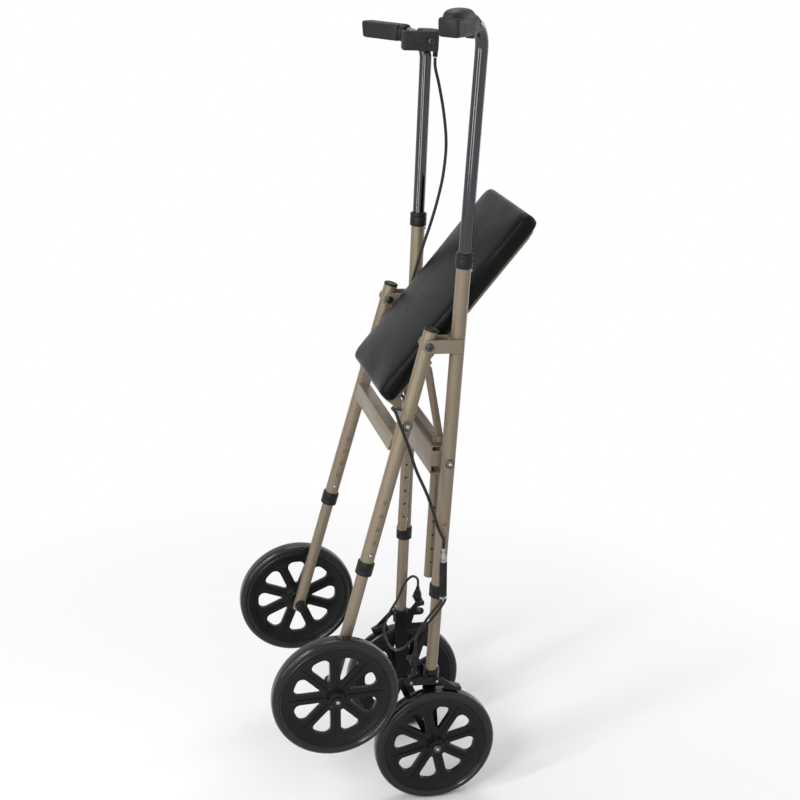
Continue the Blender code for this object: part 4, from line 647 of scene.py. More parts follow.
def bolt_head(name, place, body, radius=0.0062, height=0.0038, washer=0.0):
    """A dark six-sided head with a bright domed end over a turned flange, standing on Z = 0."""
    def build(bm):
        corner = radius * 0.86
        middle = shift(0, 0, height / 2)
        bmesh.ops.create_cone(
            bm, cap_ends=True, segments=6, radius1=corner, radius2=corner, depth=height, matrix=middle
        )
        bmesh.ops.bevel(bm, geom=bm.edges[:], offset=radius * 0.08, segments=2, profile=0.5, affect="EDGES")
    dress(soften(from_bmesh(name + "_hex", build, place, DARK_BOLT), 30), body)
    flange = radius + washer
    profile = [(0, 0.001), (flange - 0.0003, 0.001), (flange, 0.0007), (flange, 0.0001), (0, 0.0001)]
    dress(turned(name + "_washer", profile, place, DARK_BOLT), body)
    dome = [
        (0, height + 0.0011), (radius * 0.25, height + 0.001), (radius * 0.45, height + 0.0005),
        (radius * 0.55, height - 0.0002), (0, height - 0.0002),
    ]
    dress(turned(name + "_end", dome, place, ZINC, 24, 60), body)


def bolts():
    for label, side in SIDES.items():
        leg = lift(handle_leg_frame(side), LEG_BOLT_HEIGHT) @ outboard(side)
        bolt_head(f"{label}_leg_bolt", lift(leg, HOUSING_RADIUS + GAP), "handle_legs", washer=0.0012)
        swing = lift(swing_leg_frame(side), -SWING_BOLT_DROP) @ outboard(side)
        on_tab = lift(swing, HOUSING_RADIUS + CHANNEL_TAB_FACE)
        bolt_head(f"{label}_channel_bolt", on_tab, "swing_legs", washer=0.0014)
        hinge = from_leg(-HINGE_SETBACK, side * HINGE_HALF_WIDTH, HINGE_HEIGHT) @ outboard(side)
        hinge_bolt(label, hinge)


def hinge_bolt(label, place):
    """The dark socket screw through a clevis, with its nut inboard."""
    face = HOUSING_RADIUS + CLEVIS_GAP + CLEVIS_WALL + GAP
    head = face + 0.0036
    profile = [
        (0, head - 0.002), (0.0022, head - 0.002), (0.0024, head - 0.0002), (0.004, head),
        (0.0052, head - 0.0006), (0.0058, head - 0.0018), (0.006, face + 0.0004), (0.0066, face + 0.0003),
        (0.0066, face), (0.0029, face), (0.0029, -face), (0.006, -face), (0.006, -face - 0.003),
        (0.0048, -face - 0.0036), (0, -face - 0.0036),
    ]
    dress(turned(f"{label}_hinge_screw", profile, place, DARK_BOLT), "handle_legs", f"{label}_hinge_bolt")


def rim_mesh():
    """One wheel centre, outboard side at +Z: a stepped hub, and a disc with windows and a rib per spoke."""
    disc = [
        (0.0868, 0.0098), (0.0856, 0.01), (0.0838, 0.0094), (0.08, 0.0072), (0.074, 0.0052), (0.068, 0.0043),
        (0.03, 0.0042), (0.019, 0.0046), (0.0176, 0.0056),
    ]
    hub_out = [
        (0.015, 0.0056), (0.0142, 0.007), (0.0132, 0.0184), (0.0122, 0.0197), (0.011, HUB_FACE),
        (0.0043, HUB_FACE),
    ]
    hub_in = [(0.015, 0.0056), (0.0142, 0.0066), (0.0134, 0.0112), (0.0124, 0.012), (0.0043, 0.012)]
    inboard = [(radius, -height) for radius, height in disc + hub_in]
    outboard_side = list(reversed(disc + hub_out))
    rim = windowed(turned("rim", inboard + outboard_side, Matrix.Identity(4), None, 96))
    rib = [(0.01, 0.006), (0.066, 0.0056), (0.0775, 0.007), (0.0785, 0.003), (0.01, 0.003)]
    for i in range(SPOKES):
        heading = turn(2 * pi * i / SPOKES, "Z")
        for flip in (0, pi):
            fuse(rim, prism("rib", rib, 0.0013, heading @ turn(flip, "X") @ UPRIGHT))
    return mesh_of(settled(rim, WHEEL_PLASTIC, 35))


def windowed(rim):
    """The wheel's disc with a window between each two spokes, whose sides run parallel to the spokes."""
    near, far = 0.0262, 0.069
    small, large = 0.003, 0.01
    slope = pi / SPOKES
    start = (near + small) * sin(slope) - small
    middle_r = far - large
    middle = slope - asin((start + large) / middle_r)
    end = degrees(middle)
    outline = arc((near + small, 0), small, 180, 112.5, 6)
    outline += arc((middle_r * cos(middle), middle_r * sin(middle)), large, 112.5, end, 10)
    outline += [(far * cos(middle / 2), far * sin(middle / 2)), (far, 0)]
    outline += [(x, -y) for x, y in reversed(outline[1:-1])]
    for i in range(SPOKES):
        heading = turn(2 * pi * (i + 0.5) / SPOKES, "Z")
        cut(rim, prism("window", outline, 0.03, heading))
    return settled(rounded(settled(rim, None, 30), 0.001, 2, 50), None, 50)


def tyre_mesh():
    """One tyre: a narrow tread, round shoulders, and a groove and a bead where each wall meets the rim."""
    side = [
        (WHEEL_RADIUS, 0), (WHEEL_RADIUS, 0.0052), (0.1013, 0.0072), (0.1006, 0.009), (0.0995, 0.0106),
        (0.098, 0.0119), (0.0964, 0.0127), (0.0948, 0.013), (0.0934, 0.0129), (0.0922, 0.0124),
        (0.0914, 0.0116), (0.0908, 0.0107), (0.0901, 0.0103), (0.0893, 0.0105), (0.0886, 0.011),
        (0.0879, 0.0112), (0.0873, 0.0108), (0.0868, 0.0098),
    ]
    profile = list(reversed(side)) + [(radius, -height) for radius, height in side[1:]]
    return mesh_of(turned("tyre", profile, Matrix.Identity(4), TYRE_RUBBER, 128, 50))


def wheels():
    rim, tyre = rim_mesh(), tyre_mesh()
    for label, side in SIDES.items():
        for kind, place in (("front", front_wheel_frame(side)), ("swing", swing_wheel_frame(side))):
            body = f"{label}_{kind}_wheel"
            spokes = rim.copy()
            spokes.transform(turn(WHEEL_TURNS[f"{label}_{kind}"] * side, "Z"))
            dress(add(f"{label}_{kind}_spokes", spokes, place), body, f"{label}_{kind}_rim")
            dress(add(f"{label}_{kind}_rubber", tyre, place), body, f"{label}_{kind}_tyre")
            foot = f"{label}_{kind}_foot"
            bolt_head(f"{label}_{kind}_axle_end", lift(place, HUB_FACE + GAP), foot, 0.0066)


def loop(length, width, corner):
    """Points round a rounded rectangle, the same number whatever its size."""
    half_l, half_w = length / 2, width / 2
    corner = min(corner, half_l * 0.98, half_w * 0.98)
    centres = [(a * (half_l - corner), b * (half_w - corner)) for a, b in QUADRANTS]
    points = []
    for i, centre in enumerate(centres):
        points += arc(centre, corner, 90 * i, 90 * i + 90, 12)
        x, y = points[-1]
        after = centres[(i + 1) % 4]
        angle = radians(90 * i + 90)
        step_x = after[0] + corner * cos(angle) - x
        step_y = after[1] + corner * sin(angle) - y
        count = 12 if i % 2 else 18
        points += [(x + step_x * k / count, y + step_y * k / count) for k in range(1, count)]
    return points


def cushion():
    """The knee pad: vinyl over foam, hemmed under its board, with a firm edge, a crown and pleats."""
    place = pad_place() @ shift((PAD_LENGTH + COVER_RISE - COVER_OVERHANG) / 2, 0, 0)
    length = PAD_LENGTH + COVER_OVERHANG + COVER_RISE
    profile = [
        (0.012, 0.0004), (0.005, 0.0005), (0.0022, 0.0016), (0.001, 0.0036), (0.0008, 0.0048),
        (0.0016, 0.0056), (0.0008, 0.0064), (0.0002, 0.009), (0, 0.014), (0.0002, 0.019),
        (0.0008, 0.0225), (0.002, 0.0252), (0.0038, 0.0271), (0.0064, 0.0285), (0.01, 0.0295),
        (0.017, 0.0305), (0.028, 0.0315), (0.042, 0.0324), (0.058, 0.0332), (0.074, 0.0337),
        (0.088, 0.034), (0.1, 0.034),
    ]
    side_height, swell_height, crown_inset = 0.024, 0.026, 0.074
    pleat_depth, ripple_depth, sag_depth, swell_depth = 0.0012, 0.0009, 0.0008, 0.0006
    half_length, half_width = length / 2, PAD_WIDTH / 2

    def build(bm):
        rings = []
        for inset, height in profile:
            rise = min(1, height / side_height)
            calm = max(0, 1 - inset / crown_inset)
            swell = swell_depth * sin(pi * min(1, height / swell_height))
            ring = []
            for x, y in loop(length - 2 * inset, PAD_WIDTH - 2 * inset, COVER_CORNER + 0.2 * inset):
                along, over = x / half_length, y / half_width
                near_corner = ramp(abs(along), 0.86, 0.12) * ramp(abs(over), 0.76, 0.2)
                heading = atan2(abs(y) - half_width + COVER_CORNER, abs(x) - half_length + COVER_CORNER)
                pleat = pleat_depth * sin(heading * 16) * near_corner * (1 - abs(2 * rise - 0.9))
                ripple = noise.noise(Vector((x, y, height)) * 20) * ripple_depth * rise * calm
                sag = sag_depth * rise * (1 - abs(over) ** 2) * abs(along) ** 8
                outward = Vector((along ** 5, over ** 5, 0))
                spot = Vector((x, y, height - sag + ripple)) + outward * (pleat + swell)
                ring.append(bm.verts.new(spot))
            rings.append(ring)
        skin(bm, rings)
        bm.faces.new(list(reversed(rings[0])))
        bmesh.ops.remove_doubles(bm, verts=bm.verts, dist=NEAR_POINT)
    obj = from_bmesh("knee_pad_cover", build, place, VINYL)
    soften(obj, 75)
    smooth = obj.modifiers.new("smooth", "SUBSURF")
    smooth.levels = 1
    smooth.render_levels = 1
    dress(obj, "knee_pad", "knee_cushion")
    for label, side in SIDES.items():
        base_screws(label, side)
        rail_bolt(label, side)


def base_screws(label, side):
    """Screws through the base plate into the board, along its edge."""
    for i, along in enumerate(BASE_SCREWS_ALONG):
        place = pad_place() @ shift(along, side * BASE_SCREW_SIDE, -BASE_UNDERSIDE) @ turn(pi, "X")
        profile = [(0, 0.0026), (0.002, 0.0024), (0.0034, 0.0014), (0.0038, 0), (0, 0)]
        dress(turned(f"{label}_base_screw_{i}", profile, place, ZINC, 24, 60), "knee_pad")


def rail_bolt(label, side):
    """The bright screw across each rail's hook."""
    place = pad_place() @ shift(HOOK_PIN_ALONG, side * HOOK_PIN_SIDE, -HOOK_PIN_DROP)
    for end in (-1, 1):
        head = lift(place @ outboard(end), HOOK_HALF_WIDTH)
        profile = [(0, 0.003), (0.0032, 0.003), (0.0046, 0.002), (0.0048, 0.0002), (0, 0.0002)]
        kind = "outer" if end == side else "inner"
        dress(turned(f"{label}_rail_bolt_{kind}", profile, head, ZINC, 24, 60), "knee_pad")


def handle_path(side):
    corner, low = HANDLE_CORNER, HANDLE_TUBE_LOW
    if side > 0:
        corner -= RIGHT_HANDLE_DROP
        low -= RIGHT_HANDLE_DROP
    level = handle_leg_frame(side).to_3x3().inverted() @ grip_direction(side)
    tip = Vector((0, 0, corner)) + level * HANDLE_REACH
    return bent((0, 0, low), (0, 0, corner), tip, HANDLE_BEND_RADIUS)


def grip_direction(side):
    return Vector((-cos(HANDLE_TURN), side * sin(HANDLE_TURN), 0))


def grip_frame(side):
    tip = handle_leg_frame(side) @ handle_path(side)[-1]
    corner = tip - grip_direction(side) * HANDLE_REACH
    return Matrix.Translation(corner) @ turn(pi - side * HANDLE_TURN, "Z")


def handles():
    for label, side in SIDES.items():
        place = handle_leg_frame(side)
        path = handle_path(side)
        rod = swept(f"{label}_handle_bar", path, INNER_RADIUS, place, None, 14)
        bore_length = 0.06
        bore_middle = lift(place, path[0].z + 0.0295)
        cut(rod, drill(INNER_RADIUS - TUBE_WALL, bore_length, bore_middle, 48))
        for i in range(LEG_HOLES):
            step = i if side < 0 else i - LEG_HOLES // 2
            height = HANDLE_BUTTON_HEIGHT + HANDLE_HOLE_PITCH * step
            front_wall = place @ shift(0.0105, 0, height) @ turn(pi / 2, "Y")
            cut(rod, drill(HOLE_RADIUS, 0.008, front_wall))
        dress(settled(rod, CHROME, 50), f"{label}_handle", f"{label}_handle_tube")
        grip(label, side)


def grip(label, side):
    """A flat-sided moulded grip with ribs, an end cut back below, and a stepped ring at its root."""
    place = grip_frame(side)
    stations = [
        (0.047, 0.0128, 0.0112), (0.0476, 0.0142, 0.0124), (0.049, 0.0149, 0.0129), (0.064, 0.015, 0.013),
        (0.086, 0.015, 0.013), (0.108, 0.015, 0.013), (0.115, 0.0149, 0.0129), (0.117, 0.0144, 0.0124),
        (0.118, 0.0132, 0.0112),
    ]
    corner = 0.0045
    full_height = 0.026
    cut_start, cut_length, cut_depth = 0.064, 0.054, 0.004

    def build(bm):
        rings = []
        for x, half_w, half_h in stations:
            ring = []
            for i, (a, b) in enumerate(QUADRANTS):
                middle = (a * (half_w - corner), b * (half_h - corner))
                for y, z in arc(middle, corner, 90 * i, 90 * i + 90, 6):
                    cut_back = ramp(x, cut_start, cut_length) * cut_depth * (0.5 - z / full_height)
                    ring.append(bm.verts.new((x - cut_back, y, z)))
            rings.append(ring)
        skin(bm, rings)
        bm.faces.new(rings[0])
        bm.faces.new(rings[-1])
    obj = from_bmesh(f"{label}_grip_body", build, place)
    bore = INNER_RADIUS + GAP
    along = place @ turn(pi / 2, "Y")
    cut(obj, drill(bore, 0.08, lift(along, HANDLE_REACH + GAP - 0.04), 48))
    groove_pitch = 0.0085
    for i in range(5):
        low = (0.06 + groove_pitch * i, -0.016, -0.014)
        high = (0.0612 + groove_pitch * i, 0.016, -0.0124)
        cut(obj, box("grip_groove", low, high, place))
    dress(settled(obj, GRIP_RUBBER, 50), f"{label}_handle", f"{label}_grip")
    sleeve = bore + 0.0004
    profile = [
        (sleeve, 0.0472), (0.0134, 0.0472), (0.0142, 0.0464), (0.0142, 0.0424), (0.0137, 0.0416),
        (0.0132, 0.0412), (0.0132, 0.0398), (0.0138, 0.0394), (0.0138, 0.0384), (0.013, 0.0376),
        (sleeve, 0.0376),
    ]
    dress(turned(f"{label}_grip_collar", profile, along, GRIP_RUBBER), f"{label}_handle")
    if side < 0:
        palm_rest(place)


def palm_rest(place):
    """The domed rest over the left grip, and the two knobs and the catch at its root."""
    rows, columns = 16, 28
    headings = [2 * pi * k / columns for k in range(columns)]

    def build(bm):
        rings = []
        for i in range(rows + 1):
            rise = sin(pi / 2 * i / rows)
            size = cos(pi / 2 * i / rows)
            ring = []
            for angle in headings if i < rows else headings[:1]:
                c, s = cos(angle), sin(angle)
                x = 0.082 + 0.0345 * size ** 0.7 * copysign(abs(c) ** 0.7, c)
                y = 0.015 * size ** 0.6 * copysign(abs(s) ** 0.7, s)
                ring.append(bm.verts.new((x + 0.003 * rise, y, 0.0112 + 0.0126 * rise ** 0.9)))
            rings.append(ring)
        skin(bm, rings)
        bm.faces.new(list(reversed(rings[0])))
    dress(soften(from_bmesh("left_palm_dome", build, place, GRIP_RUBBER), 60), "left_handle")
    for i, (x, y, r) in enumerate(((0.053, -0.008, 0.0042), (0.05, 0.002, 0.0038))):
        profile = [
            (0, 0.0186), (r * 0.6, 0.0184), (r * 0.92, 0.0172), (r, 0.0158), (r, 0.0142), (r * 0.8, 0.0138),
            (r * 0.8, 0.011), (0, 0.011),
        ]
        knob = turned(f"left_grip_knob_{i}", profile, place @ shift(x, y, 0), GRIP_RUBBER, 24, 60)
        dress(knob, "left_handle")
    low, high = (0.0385, -0.006, -0.0185), (0.0465, 0.006, -0.0128)
    dress(box("left_grip_catch", low, high, place, GRIP_RUBBER, 0.0014), "left_handle")


def brake_lever():
    """The lever's case round the bend of the right handle, its screw and boot, and the forked lever."""
    place = from_leg(0, LEVER_PIVOT_SIDE, LEVER_PIVOT_HEIGHT)
    case = box("lever_case", (-0.0144, 0.0004, -0.0164), (0.0144, 0.0359, 0.0164), place, None, 0.0035, 4)
    cut(case, handle_room())
    dress(settled(case, LEVER_PLASTIC, 45), "right_handle", "brake_lever_case")
    half_line = [(0.015, -0.0167), (0.015, 0.0167), (0.0136, 0.0172), (-0.0136, 0.0172)]
    clamp_line = half_line + [(-x, -y) for x, y in half_line]
    band = prism("case_band", clamp_line, 0.0042, place @ shift(0, 0.013, 0) @ UPRIGHT)
    cut(band, handle_room())
    dress(settled(rounded(band, 0.0006), LEVER_PLASTIC, 45), "right_handle")
    profile = [
        (0, 0.0072), (0.0022, 0.0072), (0.0024, 0.0086), (0.0048, 0.0086), (0.0058, 0.0078), (0.006, 0.0066),
        (0.006, 0.0047), (0.0027, 0.0047), (0.0027, -0.003), (0, -0.003),
    ]
    dress(turned("lever_screw", profile, place @ outboard(-1), DARK_BOLT), "right_handle")
    lever_boot()
    lever_plate(place)


def handle_room():
    """The right handle's bar with the gap round it, to cut the lever's case with."""
    return swept("room", handle_path(1), INNER_RADIUS + GAP, handle_leg_frame(1), None, 10)


def lever_boot():
    """The ribbed end of the lever's cable, under the case."""
    profile = [(0, 0.012), (0.0044, 0.012), (0.0044, 0.008)]
    for i in range(4):
        z = 0.0076 - 0.0019 * i
        profile += [(0.0044, z), (0.0036, z - 0.0004), (0.0036, z - 0.001), (0.0044, z - 0.0014)]
    profile += [(0.0034, 0.0004), (0, 0.0002)]
    place = from_leg(LEVER_CABLE_AHEAD, LEVER_CABLE_SIDE, LEVER_BOOT_LOW)
    dress(turned("lever_boot", profile, place, LEVER_PLASTIC, 32), "right_handle")


def lever_plate(place):
    """The forked lever: a flat plate with a concave end, a hollow paddle on it and a stiffening rib."""
    left, right, half = -0.045, 0.0095, 0.015
    corner = 0.004
    outline = [(left + 0.001, -half), (right - corner, -half)]
    outline += arc((right - corner, -half + corner), corner, -90, 0, 4)
    outline += arc((right - corner, half - corner), corner, 0, 90, 4)
    outline += [(left + 0.001, half), (left - 0.0002, half - 0.0016), (left + 0.0012, half - 0.0036)]
    for i in range(1, 12):
        t = pi / 2 - pi * i / 12
        outline.append((left + 0.003 * cos(t) ** 0.5 + 0.0012, (half - 0.004) * sin(t)))
    outline += [(left + 0.0012, -half + 0.0036), (left - 0.0002, -half + 0.0016)]
    lever = prism("lever_plate", outline, 0.004, place @ shift(0, -0.0023, 0) @ UPRIGHT)
    cut(lever, drill(0.0032, 0.02, place @ outboard(1)))
    lever = rounded(settled(lever, None, 30), 0.0009, 3, 40)
    dress(settled(lever, LEVER_PLASTIC, 50), "brake_lever", "brake_lever")
    low, high = (-0.0448, -0.0028, -0.0149), (-0.0255, 0.0134, 0.0149)
    paddle = box("lever_paddle", low, high, place, None, 0.0032, 4)
    hollow = box("hollow", (-0.042, -0.001, -0.0125), (-0.028, 0.02, 0.02), place, None, 0.002, 2)
    cut(paddle, hollow)
    dress(settled(paddle, LEVER_PLASTIC, 50), "brake_lever")
    rib_line = [(-0.025, -0.005), (0.0, -0.003), (0.0, 0.003), (-0.025, 0.005)]
    rib = prism("lever_rib", rib_line, 0.0012, place @ shift(0, -0.0047, 0) @ UPRIGHT)
    cut(rib, drill(0.0068, 0.03, place @ outboard(1)))
    dress(settled(rounded(rib, 0.0004), LEVER_PLASTIC), "brake_lever")


def point(x, y, z):
    return Vector((LEG_X + x, y, z))


def cables():
    """The lever's cable, with its adjuster and the junction on the left leg, and the wheels' cables."""
    beside_leg = handle_leg_frame(-1) @ shift(JUNCTION_AHEAD, -JUNCTION_OUT, JUNCTION_HEIGHT)
    junction = beside_leg @ turn(JUNCTION_LEAN, "Y")
    lever_end = LEVER_BOOT_LOW - CABLE_GAP
    route = [
        (0.0235, 0.14, 1.148), (0.0343, 0.14, 1.1022), (0.0402, 0.138, 1.0545), (0.0374, 0.135, 1.0063),
        (0.029, 0.13, 0.9658), (0.0178, 0.122, 0.9299), (0.007, 0.1145, 0.9011),
        (-0.0055, 0.1095, 0.8605), (-0.013, 0.1075, 0.8272), (-0.023, 0.1075, 0.785),
        (-0.035, 0.107, 0.735), (-0.044, 0.098, 0.703), (-0.047, 0.075, 0.683), (-0.0465, 0.035, 0.677),
        (-0.0465, -0.03, 0.677), (-0.048, -0.07, 0.679), (-0.06, -0.096, 0.686), (-0.08, -0.111, 0.696),
        (-0.095, -0.127, 0.704), (-0.0945, -0.145, 0.704), (-0.0885, -0.153, 0.687),
        (-0.074, -0.154, 0.6517), (-0.0587, -0.15, 0.611), (-0.0356, -0.145, 0.563),
        (-0.013, -0.1365, 0.505),
    ]
    main = [
        point(LEVER_CABLE_AHEAD, LEVER_CABLE_SIDE, lever_end),
        point(0.015, LEVER_CABLE_SIDE, lever_end - 0.016),
        *(point(*at) for at in route),
        junction @ Vector((0, 0, ADJUSTER_TOP + 0.016)),
        junction @ Vector((0, 0, ADJUSTER_TOP + CABLE_GAP)),
    ]
    sheath = cable("brake_cable_sheath", main, 0.0025)
    bend(sheath, "brake_cable", "handle_legs", "right_handle", point(0, 0.13, 0.945), point(0, 0.13, 1.165))
    adjuster(junction)
    splitter(junction)
    wheel_cables(junction)


def wheel_cables(junction):
    """The cable from the junction to each wheel, and the brake pieces at its ends."""
    low_end = SPLITTER_TOP - SPLITTER_LENGTH - CABLE_GAP
    boot_top = BOOT_TOP + CABLE_GAP
    routes = {
        "left": [(-0.0119, -0.1285, 0.3544), (-0.0275, -0.1235, 0.3237), (-0.0315, -0.113, 0.2967)],
        "right": [
            (-0.004, -0.1285, 0.353), (-0.023, -0.115, 0.316), (-0.0429, -0.08, 0.2654),
            (-0.0481, -0.03, 0.2382), (-0.0461, 0.02, 0.2298), (-0.042, 0.052, 0.233),
            (-0.027, 0.076, 0.248), (-0.0111, 0.085, 0.2704), (0.001, 0.09, 0.296),
            (0.0148, 0.096, 0.305), (0.027, 0.105, 0.296),
        ],
    }
    crossings = {
        "left": (point(0, -0.12, low_end + JUNCTION_HEIGHT - 0.01), point(0, -0.12, boot_top + 0.01)),
        "right": (point(0, -0.108, 0.31), point(0, 0.085, 0.27)),
    }
    for label, side in SIDES.items():
        x, y = side * BRAKE_CABLE_OUT, side * BRAKE_CABLE_SIDE
        mouth = junction @ shift(side * SPLITTER_SPREAD, 0, low_end)
        route = [mouth.translation, mouth @ Vector((0, 0, -0.008)), *(point(*at) for at in routes[label])]
        route += [point(x, y, boot_top + 0.008), point(x, y, boot_top)]
        sheath = cable(f"{label}_cable_sheath", route, 0.0022)
        bend(sheath, f"{label}_brake_cable", "handle_legs", f"{label}_front_foot", *crossings[label])
        profile = [
            (0, 0.0016), (0.0027, 0.0016), (0.0029, 0.0012), (0.0029, -0.003), (0.0026, -0.0034),
            (0, -0.0034),
        ]
        dress(turned(f"{label}_cable_ferrule", profile, mouth, ZINC, 24), "handle_legs")
        brake_spring(label, side)
        boot(label, side)
        brake_bolts(label, side)


def cable(name, places, radius):
    return swept(name, smooth_route(places, 0.004), radius, Matrix.Identity(4), SHEATH, 5)


def adjuster(place):
    """The knurled screw that sets the cable, with its lock nut."""
    base, top = ADJUSTER_LOW, ADJUSTER_TOP
    profile = [(0, top), (0.0026, top), (0.003, top - 0.0006), (0.003, top - 0.005), (0.0024, top - 0.0054)]
    for i in range(5):
        z = top - 0.0056 - i * 0.0009
        profile += [(0.0026, z), (0.0021, z - 0.00045)]
    profile += [
        (0.0026, top - 0.0104), (0.0041, top - 0.0106), (0.0042, top - 0.0112), (0.0042, base + 0.007),
        (0.004, base + 0.0064), (0.003, base + 0.006), (0.003, base + 0.0044), (0.0042, base + 0.004),
        (0.0042, base + 0.0008), (0.0038, base + 0.0002), (0, base + 0.0002),
    ]
    dress(turned("cable_adjuster_screw", profile, place, ZINC, 18, 25), "handle_legs", "cable_adjuster")


def splitter(place):
    """A double-barrelled sleeve with a seam round its middle."""
    high = SPLITTER_TOP
    low = high - SPLITTER_LENGTH
    stations = [
        (low, 0.0026), (low + 0.0006, 0.0031), (high - 0.025, 0.0031), (high - 0.0246, 0.0028),
        (high - 0.024, 0.0028), (high - 0.0236, 0.0031), (high - 0.0006, 0.0031), (high, 0.0025),
    ]

    def build(bm):
        rings = []
        for z, r in stations:
            outline = [(SPLITTER_SPREAD + x, y) for x, y in arc((0, 0), r, -80, 80, 12)]
            outline += [(-SPLITTER_SPREAD + x, y) for x, y in arc((0, 0), r, 100, 260, 12)]
            rings.append([bm.verts.new((x, y, z)) for x, y in outline])
        skin(bm, rings)
        bm.faces.new(rings[0])
        bm.faces.new(rings[-1])
    obj = from_bmesh("cable_splitter_sleeve", build, place, COLLAR_PLASTIC)
    dress(soften(obj, 50), "handle_legs", "cable_splitter")


def bracket_frame(side):
    return from_leg(0, 0, 0) @ turn(0 if side > 0 else pi, "Z")


def brake_spring(label, side):
    """The spring over the wire, with its end turns closed."""
    low, high = 0.2306, 0.2529
    radius = 0.0039
    turns, steps = 6, 20
    points = []
    for i in range(turns * steps + 1):
        angle = 2 * pi * i / steps
        z = low + 0.0003 + (high - low - 0.0006) * ramp(i / (turns * steps), 0.08, 0.84)
        points.append((radius * cos(angle), radius * sin(angle), z))
    place = bracket_frame(side) @ shift(BRAKE_CABLE_OUT, BRAKE_CABLE_SIDE, 0)
    obj = swept(f"{label}_spring_coil", points, 0.0006, place, DARK_BOLT, 2)
    ends = [place @ Vector((0, 0, z)) for z in (high, low)]
    bend(obj, f"{label}_brake_spring", f"{label}_front_foot", f"{label}_brake_arm", *ends)


def boot(label, side):
    """A ribbed rubber boot over the cable's end, on its stop."""
    base = CABLE_STOP_TOP
    profile = [(0, base + 0.0192), (0.0034, base + 0.0192), (0.0036, base + 0.0186), (0.0036, base + 0.015)]
    for i in range(4):
        z = base + 0.0138 - i * 0.0026
        r = 0.0042 + i * 0.0009
        profile += [(r, z), (r + 0.0008, z - 0.0007), (r + 0.0008, z - 0.0014), (r, z - 0.002)]
    profile += [(0.0074, base + 0.003), (0.0076, base + 0.0022), (0.0076, base + 0.0002), (0, base + 0.0002)]
    place = bracket_frame(side) @ shift(BRAKE_CABLE_OUT, BRAKE_CABLE_SIDE, 0)
    dress(turned(f"{label}_boot_ribs", profile, place, GRIP_RUBBER, 40, 35), f"{label}_front_foot")


def brake_bolts(label, side):
    """The head of the brake arm's pivot pin, and the bolt that clamps the wire to the arm."""
    place = bracket_frame(side)
    pin = place @ shift(BRAKE_PIVOT_AHEAD, BRAKE_PIVOT_SIDE + 0.0018, BRAKE_PIVOT_HEIGHT) @ outboard(1)
    bolt_head(f"{label}_brake_pivot", pin, f"{label}_front_foot", 0.005, 0.0026)
    clamp = place @ shift(WIRE_CLAMP_AHEAD, BRAKE_PIVOT_SIDE + 0.0015, BRAKE_PIVOT_HEIGHT) @ outboard(1)
    bolt_head(f"{label}_wire_clamp", clamp, f"{label}_brake_arm", 0.0044, 0.0026)


def carried_over():
    """The nodes whose shapes stay: rounded edges, smooth turned faces and their own finish."""
    finishes = {
        "handle_leg_channel": (BRONZE, 0.0006), "swing_leg_channel": (BRONZE, 0.0006),
        "pad_posts": (BRONZE, 0.0002), "pad_base": (BRONZE, 0.0004),
    }
    for label in SIDES:
        finishes[f"{label}_clevis"] = (BRONZE, 0.0005)
        finishes[f"{label}_wheel_bracket"] = (BLACK_METAL, 0.0004)
        finishes[f"{label}_brake_arm"] = (BLACK_METAL, 0.0004)
        finishes[f"{label}_front_axle"] = (DARK_BOLT, 0.0003)
        finishes[f"{label}_swing_axle"] = (COLLAR_PLASTIC, 0.0004)
    for name, (finish, rounding) in finishes.items():
        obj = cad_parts[name]
        obj.data.materials.clear()
        obj.data.materials.append(finish)
        weld = obj.modifiers.new("weld", "WELD")
        weld.merge_threshold = NEAR_POINT
        rounded(obj, rounding, 2, 40)
        soften(obj, 40)


def seen_rays(tree):
    """One for the rays that show the background: the camera's, and those that mirrors and glass send on."""
    rays = add_node(tree, "LightPath").outputs
    total = rays["Is Camera Ray"]
    for kind in ("Is Glossy Ray", "Is Transmission Ray"):
        total = add_node(tree, "Math", {0: total, 1: rays[kind]}, operation="MAXIMUM").outputs["Value"]
    return total


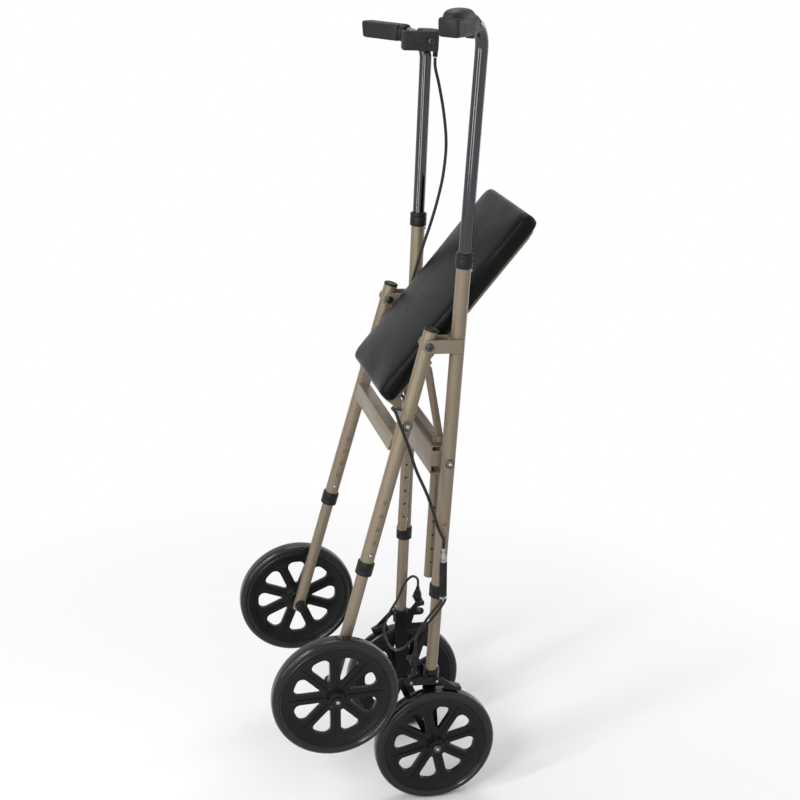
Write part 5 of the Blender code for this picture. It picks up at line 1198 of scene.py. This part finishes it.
def floor_paper():
    """White paper that keeps the walker's shadow near it and runs out to plain white."""
    s = Surface("floor_paper", 0.9, shine=0.1)
    s.colour(s.mix(s.noise(3), (0.92, 0.92, 0.92), (0.95, 0.95, 0.95)))
    reach = s.node("VectorMath", {0: s.place}, operation="LENGTH").outputs["Value"]
    share = s.node("Math", {0: s.span(reach, 0.35, 1.2), 1: seen_rays(s.tree)}, operation="MULTIPLY")
    white = s.node("Emission").outputs["Emission"]
    blend = s.node("MixShader", {"Fac": share.outputs["Value"], 1: s.shader.outputs["BSDF"], 2: white})
    fill(s.tree.nodes["Material Output"], {"Surface": blend.outputs["Shader"]})
    return s.material


def lamp(name, where, width, height, power, aim=(0.05, 0, 0.65)):
    light = bpy.data.lights.new(name, "AREA")
    light.shape = "RECTANGLE"
    light.size = width
    light.size_y = height
    light.energy = power
    facing = (Vector(aim) - Vector(where)).to_track_quat("-Z", "Y")
    add(name, light, shift(*where) @ facing.to_matrix().to_4x4())


def studio():
    """A pale floor, soft light and the photograph's camera."""
    scene = bpy.context.scene
    scene.view_settings.view_transform = "Standard"
    camera = bpy.data.cameras.new("photo_camera")
    camera.lens = 66.84
    camera.sensor_width = 36
    camera.sensor_fit = "HORIZONTAL"
    camera.clip_end = 60
    right = Vector((0.9695, -0.2395, 0.0518))
    up = Vector((0.0329, 0.337, 0.9409))
    look = Vector((0.2428, 0.9106, -0.3346))
    axes = Matrix((right, up, -look)).transposed().to_4x4()
    scene.camera = add("photo_camera", camera, from_leg(-0.6269, -2.1637, 1.4651) @ axes)

    world = bpy.data.worlds.new("studio")
    scene.world = world
    world.use_nodes = True
    tree = world.node_tree
    strength = add_node(tree, "MapRange", {"Value": seen_rays(tree), "To Min": 0.42, "To Max": 1.0})
    fill(tree.nodes["Background"], {"Color": (1, 1, 1, 1), "Strength": strength.outputs["Result"]})

    def build(bm):
        bmesh.ops.create_grid(bm, x_segments=1, y_segments=1, size=12)
    from_bmesh("floor", build, shift(0, 0, -0.0005), floor_paper())

    lamp("key", (-2.0, -2.4, 2.6), 0.8, 0.8, 40)
    lamp("left_strip", (-1.7, -0.92, 1.5), 0.16, 2.3, 20, (0.05, 0, 0.85))
    lamp("left_box", (-1.2, -2.6, 0.9), 0.7, 1.4, 16, (0.05, 0, 0.6))
    lamp("right_strip", (1.5, 0.8, 0.9), 0.14, 1.6, 4, (0.05, 0, 0.9))
    lamp("top", (0.2, 0.6, 3.2), 1.8, 1.8, 30)


studio()
legs()
bolts()
wheels()
cushion()
handles()
brake_lever()
cables()
carried_over()
